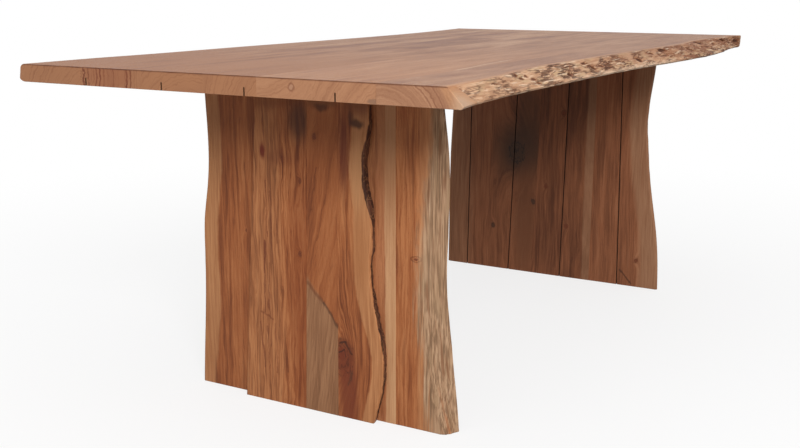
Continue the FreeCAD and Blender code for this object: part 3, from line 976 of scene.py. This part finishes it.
# %% Worn, combed and barky skin
def worn_skin(s, d):
    swell = 1.4 * noise.noise((s / 170.0, d / 80.0, 6.6))
    return swell + 0.5 * noise.noise((s / 40.0, d / 14.0, 2.2)), 0.0, 1.0


def combed_skin(s, d):
    ridge = abs(noise.noise((d / 5.0, s / 120.0, 4.7)))
    spread = noise.noise((d / 40.0, s / 120.0, 9.9))
    gouge = soft_step(0.24, 0.60, noise.noise((d / 3.4, s / 95.0, 7.3)))
    return 2.4 * ridge + 1.3 * spread + 1.6 * gouge - 1.4, gouge * 0.5, 1.0


def barky_skin(s, d):
    lump = noise.noise((d / 30.0, s / 34.0, 5.5))
    knob = noise.noise((d / 7.0, s / 10.0, 2.9))
    outer = soft_step(690.0, 706.0, abs(d))
    return 3.4 * lump + 1.2 * knob - 3.0 * outer, soft_step(0.0, 0.4, knob), 1.0


# %% [markdown]
# ## Groups of boards
# The top and the legs are built in the same two ways, so each way is one function. Only the direction
# of the grain and the width of the eased corner differ: the joints of the top are sanded flush, and
# those of the legs keep a little more of a line.

# %% Building a group
TOP = SimpleNamespace(along=0, slot="top_wood", eased=0.00025)
LEG = SimpleNamespace(along=2, slot="leg_wood", eased=0.0007)
RIGHT, LEFT = -1, 1


def plain_boards(group, boards):
    """Eased copies of the boards in a table of looks."""
    for board, own in boards.items():
        material = acacia(board + "_acacia", {**own, "kerf": kerf_mark(board, group.along)})
        settle(eased_copy(board, group.eased), board, material)
    print("plain boards:", ", ".join(boards))


def natural_board(group, board, side, skin, material, ease, step, points, hold=0.35):
    """A net with sections a step apart and points round the edge. Ease rounds its front and back rim,
    and hold is the share of the skin's hollows that is left at the rims."""
    net = drape_board(board, group.along, side, skin, ease, step, points, hold)
    settle(net, board, material)


# %% [markdown]
# ## The tabletop
# The boards of the top are paler than the legs, with quiet straight grain. The ends show where each
# board lay in the tree: one has the heart in it, and its rings close up into dark red arcs.

# %% Plain boards of the top
END_TONE, RED_END = (0.440, 0.235, 0.142), (0.27, 0.085, 0.042)
PALE_LINE, GREY_SPOT = (0.54, 0.36, 0.24), (0.24, 0.13, 0.08)
# painted sheen: a warmer tone toward the near end of the top, standing in for the grazing sheen that
# greys the far end; less of it on the right boards
SHEEN_SHIFT_STRONG = (200, -950, (0.30, 0.103, 0.026), 0.68)
SHEEN_SHIFT_WEAK = (200, -950, (0.44, 0.175, 0.062), 0.35)
TOP_LOOK = dict(
    grain="X", contrast=(0.7, 0.9, 0.5, 0.4), bow=16, wobble=5, late=0.35, vessels=0.4,
    colours=((0.195, 0.070, 0.033), (0.350, 0.165, 0.085), (0.465, 0.255, 0.145)),
    shine=0.17, end=(END_TONE, 0.42),
)
LIVELY_TOP = dict(TOP_LOOK, contrast=(1.9, 1.1, 0.5, 0.8), warm=SHEEN_SHIFT_STRONG)
QUIET_TOP = dict(TOP_LOOK, warm=SHEEN_SHIFT_WEAK)

TOP_PLAIN = {
    "top_board_2": dict(
        LIVELY_TOP, seed=1.3, pith=(356, 764), band=48, end_lines=0.8,
        end_spots=[((281, 768, 66, 30), RED_END, 0.35)],
        veins=[((345, -1010, 344, -996), 3.6, MAROON, 0.75), ((333, -1010, 333, -996), 2.6, MAROON, 0.5)],
        end_arcs=[(46, 2.6, 0.7), (56, 3, 0.8), (66, 2, 0.4), (92, 2.4, 0.5), (128, 2.8, 0.8),
                  (138, 2.4, 0.6)],
    ),
    "top_board_3": dict(LIVELY_TOP, seed=2.1, pith=(60, 640), lift=0.03, band=52),
    "top_board_4": dict(LIVELY_TOP, seed=3.7, pith=(-160, 700), lift=0.02, band=52),
    "top_board_5": dict(
        QUIET_TOP, seed=4.4, pith=(-90, 880), end_lines=0.35,
        end_spots=[((-176, 764, 7.5, 8.5), MAROON, 0.45), ((-176, 764, 4.8, 5.6), END_TONE, 0.8)],
    ),
    "top_board_6": dict(
        QUIET_TOP, seed=5.9, pith=(-420, 660), lift=0.04, end_lines=0.35,
        end_spots=[((-354, 747, 16, 5), GREY_SPOT, 0.8), ((-360, 750, 1.6, 10), SMOKE_AND_SHADE, 0.7)],
        veins=[((-354, -690, -326, -370), 5.5, PALE_LINE, 0.7)],
    ),
}
plain_boards(TOP, TOP_PLAIN)

# %% [markdown]
# ## The natural edges of the top
# The outer boards carry the skins. The right one is straw and pale brown under its pits; the left one
# has been handled and sanded until it is nearly the colour of the top.

# %% Natural edges of the top
PITTED_SKIN = dict(
    tones=((0.38, 0.190, 0.106), (0.63, 0.375, 0.226), (0.76, 0.520, 0.350)), share=0.9,
    patch=(0.56, 0.395, 0.230), start=[(-950, -1), (-600, 2), (500, 3.5)], ragged=9,
    flecks=0.5, lines=0.4, worms=(-820, -300),
    pitted=True, pits=((0.27, 0.098, 0.044), (0.072, 0.023, 0.010)),
)
WORN_SKIN = dict(
    tones=((0.30, 0.120, 0.060), (0.41, 0.195, 0.105), (0.49, 0.270, 0.155)), share=0.5,
    patch=(0.40, 0.185, 0.095),
)
top_right = acacia("top_right_acacia", dict(
    TOP_LOOK, seed=7.2, pith=(-370, 690), skin=PITTED_SKIN, end_lines=0.35,
    end_arcs=[(112, 2.4, 0.35), (121, 2.2, 0.4), (132, 2.2, 0.35)],
    sap=[("rim", ([(0, 12)], 8), 0.8)],
    stains=[((-530, -980, 24, 50), (0.53, 0.345, 0.225), 0.75)],
))
top_left = acacia("top_left_acacia", dict(
    TOP_LOOK, seed=8.5, pith=(300, 660), skin=WORN_SKIN, warm=SHEEN_SHIFT_STRONG,
))
natural_board(TOP, "top_edge_board_right", RIGHT, pitted_skin, top_right,
              ease=(0.002, 0.003), step=0.0021, points=40, hold=0.7)
natural_board(TOP, "top_edge_board_left", LEFT, worn_skin, top_left,
              ease=(0.010, 0.010), step=0.006, points=20)

# %% [markdown]
# ## The near leg
# The legs are redder and busier than the top. The near one is the face of the table, so each of its
# boards follows what the picture shows: bands of pale sapwood, knots, veins and cracks.

# %% Plain boards of the near leg
NEAR_PLAIN = {
    "near_leg_board_2": dict(seed=11.2, pith=(40, -560)),
    "near_leg_board_3": dict(
        seed=12.6, pith=(-60, -760), lift=0.2,
        colours=((0.145, 0.044, 0.019), (0.345, 0.124, 0.051), (0.47, 0.195, 0.086)),
        sap=[("across", (-230, -186, 4), 0.9)],
        sap_colours=((0.47, 0.230, 0.108), (0.62, 0.355, 0.186)),
        stains=[((-199, 620, 24, 200), (0.36, 0.155, 0.068), 0.6)],
    ),
    "near_face_board_1": dict(
        seed=13.1, pith=(-60, -790), line=4.8, contrast=(0.6, 2.6, 0.9, 0.4), vessels=0.8,
        lift=0.07, late=0.5, wobble=12, sap=[("across", (58, 220, 26), 0.3)],
        # the wide stain at 704 is painted shadow under the top; the smoky one at 660 is partly the wood's
        # dark and partly painted shade
        stains=[((116, 587, 7, 18), (0.15, 0.018, 0.010), 0.9), ((16, 660, 30, 50), SMOKE_AND_SHADE, 0.75),
                ((88, 704, 120, 26), (0.16, 0.042, 0.012), 0.55), ((70, 575, 34, 16), MAROON, 0.28),
                ((16, 250, 34, 330), (0.25, 0.068, 0.022), 0.6)],
        veins=[((114, 380, 119, 215), 4.5, MAROON, 0.75), ((104, 330, 108, 200), 2.6, MAROON, 0.5),
               ((131, 216, 98, 200), 4, MAROON, 0.45), ((133, 190, 124, 80), 4, MAROON, 0.6),
               ((112, 180, 108, 60), 2.2, MAROON, 0.5), ((110, 520, 106, 395), 2, MAROON, 0.5),
               ((98, 500, 96, 330), 1.8, MAROON, 0.45), ((84, 480, 80, 380), 1.8, MAROON, 0.4),
               ((92, 190, 88, 70), 2, MAROON, 0.4)],
        knots=[(15, 527, 4, 1.6), (19, 362, 4, 1.6)],
    ),
    "near_face_board_2": dict(
        seed=14.8, pith=(150, -670), lean=(-0.20, 0), bow=34, contrast=(0.5, 0.6, 0.4, 0.4),
        lift=0.03, late=0.3, vessels=0.35,
        sap=[("below", ((-1, 300), (-44, 258), (-82, 202), 4), 0.85)],
        sap_colours=((0.19, 0.088, 0.042), (0.35, 0.184, 0.094)),
        veins=[((-1, 300, -44, 260), 7, HEART_DARK, 0.5), ((-44, 258, -82, 204), 5, SMOKE_AND_SHADE, 0.7),
               ((-30, 560, -14, 470), 3, HEART_DARK, 0.6), ((-14, 470, -4, 445), 3, HEART_DARK, 0.5),
               ((-52, 500, -26, 400), 3, HEART_DARK, 0.45)],
        # the wide stain at 704 is painted shadow under the top
        stains=[((-45, 704, 60, 16), SMOKE_AND_SHADE, 0.45), ((-42, 690, 20, 8), KNOT, 0.6)],
        knots=[(-24, 626, 6, 1.6)],
    ),
}
plain_boards(LEG, NEAR_PLAIN)

# %% [markdown]
# ## The slab edges of the near leg
# The left edge is smooth sapwood. On the right edge the tree was too narrow for the saw, so a wane of
# ridged skin comes round onto the front face, and its line wanders as the trunk did.

# %% Slab edges of the near leg
RIDGED_SKIN = dict(
    tones=((0.16, 0.092, 0.050), (0.41, 0.250, 0.145), (0.56, 0.370, 0.235)), share=0.95,
    patch=(0.34, 0.215, 0.120), start=[(0, -5)], ragged=6, flecks=0.45, fleck=120,
    lines=0.75, pitted=True,
)
SMOOTH_SKIN = dict(
    tones=((0.26, 0.105, 0.048), (0.40, 0.180, 0.080), (0.47, 0.235, 0.115)), share=0.6,
    patch=(0.36, 0.165, 0.078),
)
SLAB_FRONT = -687  # the front face of the slab, in millimetres
WANE = [(20, -292), (120, -280), (240, -267), (380, -279), (500, -292), (640, -302)]
RIM_WANDER = [(20, -12), (130, -6), (230, -2), (390, -3), (510, -6), (640, -11)]
WANED_SKIN = dict(RIDGED_SKIN, wane=(WANE, SLAB_FRONT), start=RIM_WANDER, soft=5, ragged=12)

near_left = acacia("near_left_acacia", dict(
    seed=15.5, pith=(60, -610), skin=SMOOTH_SKIN, lift=-0.03, knots=[(185, 392, 3, 1.6)],
    sap=[("rim", ([(60, 35), (190, 46), (330, 39), (560, 37)], 5), 0.8)],
    kerf=kerf_mark("near_leg_edge_board_left", LEG.along),
))
near_right = acacia("near_right_acacia", dict(
    seed=16.3, pith=(-60, -620), skin=WANED_SKIN, lift=0.16, contrast=(0.75, 1.6, 0.6, 0.4),
    sap=[("across", (-320, -262, 14), 0.5)], eyes=[((-262.5, 381, 11, 6), MAROON)],
    kerf=kerf_mark("near_leg_edge_board_right", LEG.along),
))
natural_board(LEG, "near_leg_edge_board_left", LEFT, worn_skin, near_left,
              ease=(0.0015, 0.004), step=0.004, points=18)
natural_board(LEG, "near_leg_edge_board_right", RIGHT, combed_skin, near_right,
              ease=(0.014, 0.002), step=0.0026, points=36)

# %% [markdown]
# ## The front board of the near leg
# The last of the proud boards has a natural edge of its own, which was left standing over the slab. A
# band of sapwood follows it, then the red heart, with a large cracked knot low down.

# %% Front edge board of the near leg
RED_HEART = (0.165, 0.037, 0.016)
# dark bark, with its tones darkened further to paint the shade on the narrow side face of the seam
BARK_AND_SHADE_SKIN = dict(
    tones=((0.015, 0.006, 0.005), (0.050, 0.018, 0.012), (0.17, 0.070, 0.042)), share=0.97,
    patch=(0.15, 0.055, 0.028), ragged=9, lines=0.4, pitted=True,
    start=[(30, -7), (110, -5), (220, -2), (320, -7), (430, -7), (510, 4.5), (590, 3), (680, -5)],
)
near_front = acacia("near_front_edge_acacia", dict(
    seed=17.9, pith=(-20, -740), skin=BARK_AND_SHADE_SKIN, bow=20, vessels=0.6,
    contrast=(0.75, 1.7, 0.6, 0.4),
    sap=[("rim", ([(20, 27), (120, 24), (250, 35), (450, 39), (600, 31)], 3), 0.8)],
    sap_colours=((0.36, 0.145, 0.055), (0.55, 0.262, 0.116)),
    knots=[(-86, 140, 28, -1.5)], knot_colours=(RED_HEART, KNOT, 0.7),
    eyes=[((-88, 150, 24, 30), RED_HEART), ((-90, 148, 9, 12), MAROON)],
    veins=[((-82, 174, -97, 178), 4, KNOT, 0.8), ((-97, 178, -112, 152), 3.4, KNOT, 0.7),
           ((-82, 152, -94, 160), 3, KNOT, 0.8), ((-94, 160, -100, 142), 2.6, KNOT, 0.7),
           ((-112, 112, -106, 78), 3, SMOKE_AND_SHADE, 0.6)],
    stains=[((-134, 560, 17, 85), (0.54, 0.275, 0.125), 0.6),
            ((-140, 385, 26, 85), (0.37, 0.148, 0.056), 0.6), ((-99, 600, 13, 90), MAROON, 0.75),
            ((-132, 659, 19, 9), KNOT, 0.85), ((-118, 672, 9, 16), KNOT, 0.6),
            ((-138, 712, 44, 40), (0.19, 0.062, 0.026), 0.9), ((-88, 142, 9, 9), RED_HEART, 0.9),
            ((-106, 50, 26, 90), RED_HEART, 0.85), ((-96, 130, 30, 60), RED_HEART, 0.65)],
))
natural_board(LEG, "near_face_edge_board", RIGHT, barky_skin, near_front,
              ease=(0.001, 0.001), step=0.0024, points=20, hold=0.8)

# %% [markdown]
# ## The far leg
# Only the inner face of this leg shows from the front, with its relief cuts and one large dark knot.
# Its proud boards face the other end of the table and follow the near leg's, turned round.

# %% Plain boards of the far leg
CHAR, CHAR_RING = (0.058, 0.029, 0.017), (0.020, 0.012, 0.009)
FAR_LOOK = dict(
    colours=((0.115, 0.040, 0.019), (0.288, 0.107, 0.049), (0.410, 0.180, 0.090)),
    sap_colours=((0.300, 0.140, 0.072), (0.410, 0.225, 0.126)),
    contrast=(0.6, 0.85, 0.4, 0.4), late=0.3, vessels=0.3,
)
FAR_PLAIN = {
    "far_leg_board_2": dict(
        FAR_LOOK, seed=21.4, pith=(40, 760), lift=-0.04, wobble=12,
        knots=[(104, 400, 34, 1.6), (41, 243, 8, 1.8), (184, 145, 7, 1.6)],
        knot_colours=(CHAR, CHAR_RING, 0.8),
        stains=[((96, 408, 96, 105), CHAR, 0.85), ((60, 520, 46, 120), CHAR, 0.5),
                ((68, 160, 46, 210), (0.15, 0.056, 0.026), 0.8)],
        veins=[((10, 330, 8, 270), 5, CHAR, 0.7)],
    ),
    "far_leg_board_3": dict(
        FAR_LOOK, seed=22.7, pith=(-160, 720), lift=-0.21,
        sap=[("across", (-172, -132, 8), 0.6)],
        knots=[(-3, 294, 6, 1.6), (-77, 172, 6, 1.6), (-57, 539, 7, 1.6)],
    ),
    "far_face_board_1": dict(
        seed=23.3, pith=(60, 800), line=6.5, contrast=(0.6, 1.6, 0.5, 0.4), vessels=0.7,
        late=0.6, knots=[(-60, 420, 7, 1.8)],
    ),
    "far_face_board_2": dict(seed=24.9, pith=(-150, 690), lean=(0.20, 0), bow=30),
}
plain_boards(LEG, FAR_PLAIN)

# %% [markdown]
# ## The natural edges of the far leg
# The skins are those of the near leg. No wane comes round the right edge here, so from the front it
# shows as a band of pale sapwood on the inner face.

# %% Natural edges of the far leg
far_left = acacia("far_left_acacia", dict(
    FAR_LOOK, seed=25.2, pith=(120, 610), skin=SMOOTH_SKIN, lift=-0.03,
    sap=[("rim", ([(0, 70)], 30), 0.4)], kerf=kerf_mark("far_leg_edge_board_left", LEG.along),
))
far_right = acacia("far_right_acacia", dict(
    FAR_LOOK, seed=26.6, pith=(-80, 590), skin=RIDGED_SKIN, lift=-0.04,
    sap=[("rim", ([(0, 48)], 12), 0.75)], knots=[(-316, 85, 7, 1.6)],
    veins=[((-262, 52, -303, 8), 4, SMOKE_AND_SHADE, 0.8)],
    kerf=kerf_mark("far_leg_edge_board_right", LEG.along),
))
far_front = acacia("far_front_edge_acacia", dict(
    seed=27.8, pith=(30, 740), skin=BARK_AND_SHADE_SKIN, sap=[("rim", ([(0, 24)], 9), 0.8)],
    knots=[(98, 190, 13, 2)],
))
natural_board(LEG, "far_leg_edge_board_left", LEFT, worn_skin, far_left,
              ease=(0.005, 0.005), step=0.004, points=18)
natural_board(LEG, "far_leg_edge_board_right", RIGHT, combed_skin, far_right,
              ease=(0.002, 0.002), step=0.0026, points=36)
natural_board(LEG, "far_face_edge_board", LEFT, barky_skin, far_front,
              ease=(0.001, 0.001), step=0.0024, points=20, hold=0.8)

# %% [markdown]
# ## Steel
# Nothing of this shows in the picture: under the top a black angle runs along the inside of each leg,
# with wood screws into the leg and bolts up into threaded inserts. Powder paint has a fine orange-peel
# skin; zinc plate is a mottled grey that is never quite even.

# %% Steel finishes
ANGLE_EASED = 0.0008
MOTTLE = 0.09
STEEL_RELIEF = {"Strength": 0.12, "Distance": 0.0004}


def steel(name, base, worn, metal, rough, grit):
    material, sheet = new_material(name)
    place = in_millimetres(sheet)
    mottle = place.stretched((MOTTLE, MOTTLE, MOTTLE)).cloud(3, 0.6)
    peel = place.stretched((grit, grit, grit)).cloud(1)
    colour = sheet.mix(mottle.smooth(0.35, 0.7), base, worn)
    sockets = {"Base Color": colour, "Metallic": metal, "Roughness": mottle * 0.2 + rough}
    close_material(sheet, STEEL_RELIEF, peel, sockets)
    return material


black_paint = steel("black_powder_paint", (0.016, 0.016, 0.017), (0.030, 0.030, 0.031), 0.0, 0.36, 0.9)
zinc_plate = steel("zinc_plate", (0.52, 0.53, 0.54), (0.66, 0.66, 0.65), 1.0, 0.22, 1.6)
yellow_zinc = steel("yellow_zinc", (0.55, 0.42, 0.20), (0.68, 0.58, 0.36), 1.0, 0.25, 1.6)
for angle in ("near_angle", "far_angle"):
    settle(eased_copy(angle, ANGLE_EASED), angle, black_paint)
    print(angle, "in black paint")

# %% [markdown]
# ## Fixings that repeat
# A fixing is made once and set at every seat. Geometry nodes suit that: the tree builds one screw from
# its sizes, puts a copy at each point, gives each its own turn and makes the copies real. The seats
# come from the construction model, where each fixing is a solid of its own.

# %% Seats and the shared tree
SPIN_SEED = 5


def islands(node):
    """The box round each separate solid of a CAD node, in order across the table."""
    work = merged_copy(node)
    left = set(work.verts)
    boxes = []
    while left:
        waiting = [left.pop()]
        group = []
        while waiting:
            corner = waiting.pop()
            group.append(corner.co.copy())
            linked = [edge.other_vert(corner) for edge in corner.link_edges]
            fresh = [other for other in linked if other in left]
            left.difference_update(fresh)
            waiting.extend(fresh)
        low = Vector([min(point[axis] for point in group) for axis in range(3)])
        high = Vector([max(point[axis] for point in group) for axis in range(3)])
        boxes.append((low, high))
    work.free()
    return sorted(boxes, key=lambda box: box[0].y)


def turn_about(sheet, axis, angle):
    parts = sheet.node("ShaderNodeCombineXYZ", {axis: angle})
    return sheet.node("FunctionNodeEulerToRotation", {0: parts})


def fixing_tree(name, sizes, shape, material):
    """A tree that sets one shape, built from named sizes, at every point it is given."""
    tree = bpy.data.node_groups.new(name, "GeometryNodeTree")
    tree.interface.new_socket("Fixings", in_out="OUTPUT", socket_type="NodeSocketGeometry")
    tree.interface.new_socket("Seats", in_out="INPUT", socket_type="NodeSocketGeometry")
    for label in [*sizes, "Tilt"]:
        tree.interface.new_socket(label, in_out="INPUT", socket_type="NodeSocketFloat")
    sheet = Wire(tree)
    entry = sheet.node("NodeGroupInput", output="Seats")
    one = shape(sheet, {label: entry.other(label) for label in sizes})
    facing = turn_about(sheet, "Y", entry.other("Tilt"))
    drawn = {2: 0.0, 3: math.tau, "Seed": SPIN_SEED}
    spin = sheet.node("FunctionNodeRandomValue", drawn, 1, data_type="FLOAT")
    placing = {"Points": entry, "Instance": one, "Rotation": facing}
    placed = sheet.node("GeometryNodeInstanceOnPoints", placing)
    turning = {"Instances": placed, "Rotation": turn_about(sheet, "Z", spin)}
    turned = sheet.node("GeometryNodeRotateInstances", turning)
    real = sheet.node("GeometryNodeRealizeInstances", {0: turned})
    dressed = sheet.node("GeometryNodeSetMaterial", {"Geometry": real, "Material": material})
    dressed.ends_in("NodeGroupOutput", "Fixings")
    return tree


def set_fixings(node, seats, tree, values, material):
    mesh = bpy.data.meshes.new(node + "_seats")
    mesh.from_pydata(seats, [], [])
    piece = new_object(node + "_fixings", mesh)
    modifier = piece.modifiers.new("fixings", "NODES")
    modifier.node_group = tree
    for item in tree.interface.items_tree:
        if item.name in values:
            modifier[item.identifier] = values[item.name]
    final = baked(piece).data
    final.shade_smooth()
    final.set_sharp_from_angle(angle=SHARP_TURN)
    settle(piece, node, material)
    print(node, len(seats), "fixings,", len(final.polygons), "faces")


# %% [markdown]
# ## Shapes of the fixings
# Each shape stands on the seat with its head up. A screw is a tapered head with a cross sunk into it,
# on a shank with a point. A bolt head is a six-sided bar cut by a cone, which is how the corners of a
# real one get their round chamfer. Washers and inserts are bored through.

# %% Shapes
SIDES, BORE_SIDES = 40, 48
OVERLAP = 0.0002
RIB = 0.0005
RIB_PLACES = (0.03, 0.2, 0.36, 0.52, 0.68, 0.84)
CHAMFER_SLOPE = 1.73


def lifted(sheet, shape, height):
    return sheet.node("GeometryNodeTransform", {0: shape, "Translation": sheet.vector(0, 0, height)})


def bar(sheet, radius, length, middle, sides=SIDES):
    """A round or many-sided bar, with its middle at a height."""
    sizes = {"Vertices": sides, "Radius": radius, "Depth": length}
    return lifted(sheet, sheet.node("GeometryNodeMeshCylinder", sizes), middle)


def taper(sheet, low_radius, high_radius, length, foot):
    """A cut cone that stands at a height."""
    sizes = {"Vertices": SIDES, "Radius Bottom": low_radius, "Radius Top": high_radius, "Depth": length}
    return lifted(sheet, sheet.node("GeometryNodeMeshCone", sizes), foot)


def combined(sheet, operation, bodies):
    return sheet.node("GeometryNodeMeshBoolean", bodies, operation=operation, solver="EXACT")


def screw_shape(sheet, size):
    head, high = size["Head"], size["Head high"]
    body = taper(sheet, head * 0.5, head * 0.33, high, 0.0)
    for wide, deep in ((0.42, 0.09), (0.09, 0.42)):
        span = sheet.vector(head * wide, head * deep, high * 1.2)
        block = sheet.node("GeometryNodeMeshCube", {"Size": span})
        body = combined(sheet, "DIFFERENCE", {0: body, 1: lifted(sheet, block, high)})
    tip = size["Shank"] * 1.2
    straight = size["Length"] - tip
    shank = bar(sheet, size["Shank"] * 0.5, straight, straight * -0.5 + OVERLAP)
    point = taper(sheet, OVERLAP, size["Shank"] * 0.5, tip, size["Length"] * -1)
    return combined(sheet, "UNION", {1: [body, shank, point]})


def bolt_shape(sheet, size):
    across, high = size["Across"], size["Head high"]
    six = bar(sheet, across / math.sqrt(3.0), high, high * 0.5, 6)
    cone = taper(sheet, across * 0.48 + high * CHAMFER_SLOPE, across * 0.48, high, 0.0)
    stem = bar(sheet, size["Stem"] * 0.5, size["Length"], size["Length"] * -0.5 + OVERLAP)
    head = combined(sheet, "INTERSECT", {1: [six, cone]})
    return combined(sheet, "UNION", {1: [head, stem]})


def washer_shape(sheet, size):
    thick = size["Thick"]
    ring = bar(sheet, size["Outer"] * 0.5, thick, thick * 0.5, BORE_SIDES)
    bore = bar(sheet, size["Bore"] * 0.5, thick * 2, thick * 0.5, BORE_SIDES)
    return combined(sheet, "DIFFERENCE", {0: ring, 1: bore})


def insert_shape(sheet, size):
    outer, length = size["Outer"], size["Length"]
    core = bar(sheet, outer * 0.5 - RIB, length, length * 0.5)
    ribs = [bar(sheet, outer * 0.5, length * 0.05, length * place) for place in RIB_PLACES]
    bore = bar(sheet, size["Bore"] * 0.5, length * 1.2, length * 0.5)
    return combined(sheet, "DIFFERENCE", {0: combined(sheet, "UNION", {1: [core, *ribs]}), 1: bore})


# %% [markdown]
# ## Setting the fixings
# The outer sizes are read off the solids that the copies stand in for, so they cannot drift apart. The
# bolts are 8 mm ones with 13 mm across the flats, and the bores leave them a little play.

# %% Screws, bolts, washers and inserts
SCREW_HEAD_HIGH = 0.0032
SCREW_SHANK = 0.005
BOLT_STEM = 0.008
BOLT_ACROSS = 0.013
WASHER_PLAY = 0.0006
INSERT_PLAY = 0.0002

SCREW_SIZES = ("Head", "Head high", "Shank", "Length")
BOLT_SIZES = ("Across", "Head high", "Stem", "Length")
screw_tree = fixing_tree("wood_screws", SCREW_SIZES, screw_shape, zinc_plate)
bolt_tree = fixing_tree("hexagon_bolts", BOLT_SIZES, bolt_shape, zinc_plate)
washer_tree = fixing_tree("plain_washers", ("Outer", "Thick", "Bore"), washer_shape, zinc_plate)
insert_tree = fixing_tree("threaded_inserts", ("Outer", "Length", "Bore"), insert_shape, yellow_zinc)


def middle(box):
    return [(low + high) / 2 for low, high in zip(*box)]


def feet(boxes):
    """The middle of the foot of each box."""
    return [(*middle(box)[:2], box[0].z) for box in boxes]


for end, turn in (("near", 1.0), ("far", -1.0)):
    screws = islands(end + "_angle_screws")
    low, high = screws[0]
    face = (high.x if turn > 0 else low.x) - turn * SCREW_HEAD_HIGH
    seats = [(face, *middle(box)[1:]) for box in screws]
    values = {"Head": high.y - low.y, "Head high": SCREW_HEAD_HIGH, "Shank": SCREW_SHANK,
              "Length": high.x - low.x - SCREW_HEAD_HIGH, "Tilt": turn * math.pi / 2}
    set_fixings(end + "_angle_screws", seats, screw_tree, values, zinc_plate)

    washers = islands(end + "_angle_washers")
    low, high = washers[0]
    values = {"Outer": high.y - low.y, "Thick": high.z - low.z,
              "Bore": BOLT_STEM + WASHER_PLAY, "Tilt": 0.0}
    set_fixings(end + "_angle_washers", feet(washers), washer_tree, values, zinc_plate)

    bolt_low, bolt_high = islands(end + "_angle_bolts")[0]
    values = {"Across": BOLT_ACROSS, "Head high": low.z - bolt_low.z, "Stem": BOLT_STEM,
              "Length": bolt_high.z - low.z, "Tilt": math.pi}
    set_fixings(end + "_angle_bolts", feet(washers), bolt_tree, values, zinc_plate)

    inserts = islands(end + "_top_inserts")
    low, high = inserts[0]
    values = {"Outer": high.y - low.y, "Length": high.z - low.z,
              "Bore": BOLT_STEM + INSERT_PLAY, "Tilt": 0.0}
    set_fixings(end + "_top_inserts", feet(inserts), insert_tree, values, yellow_zinc)
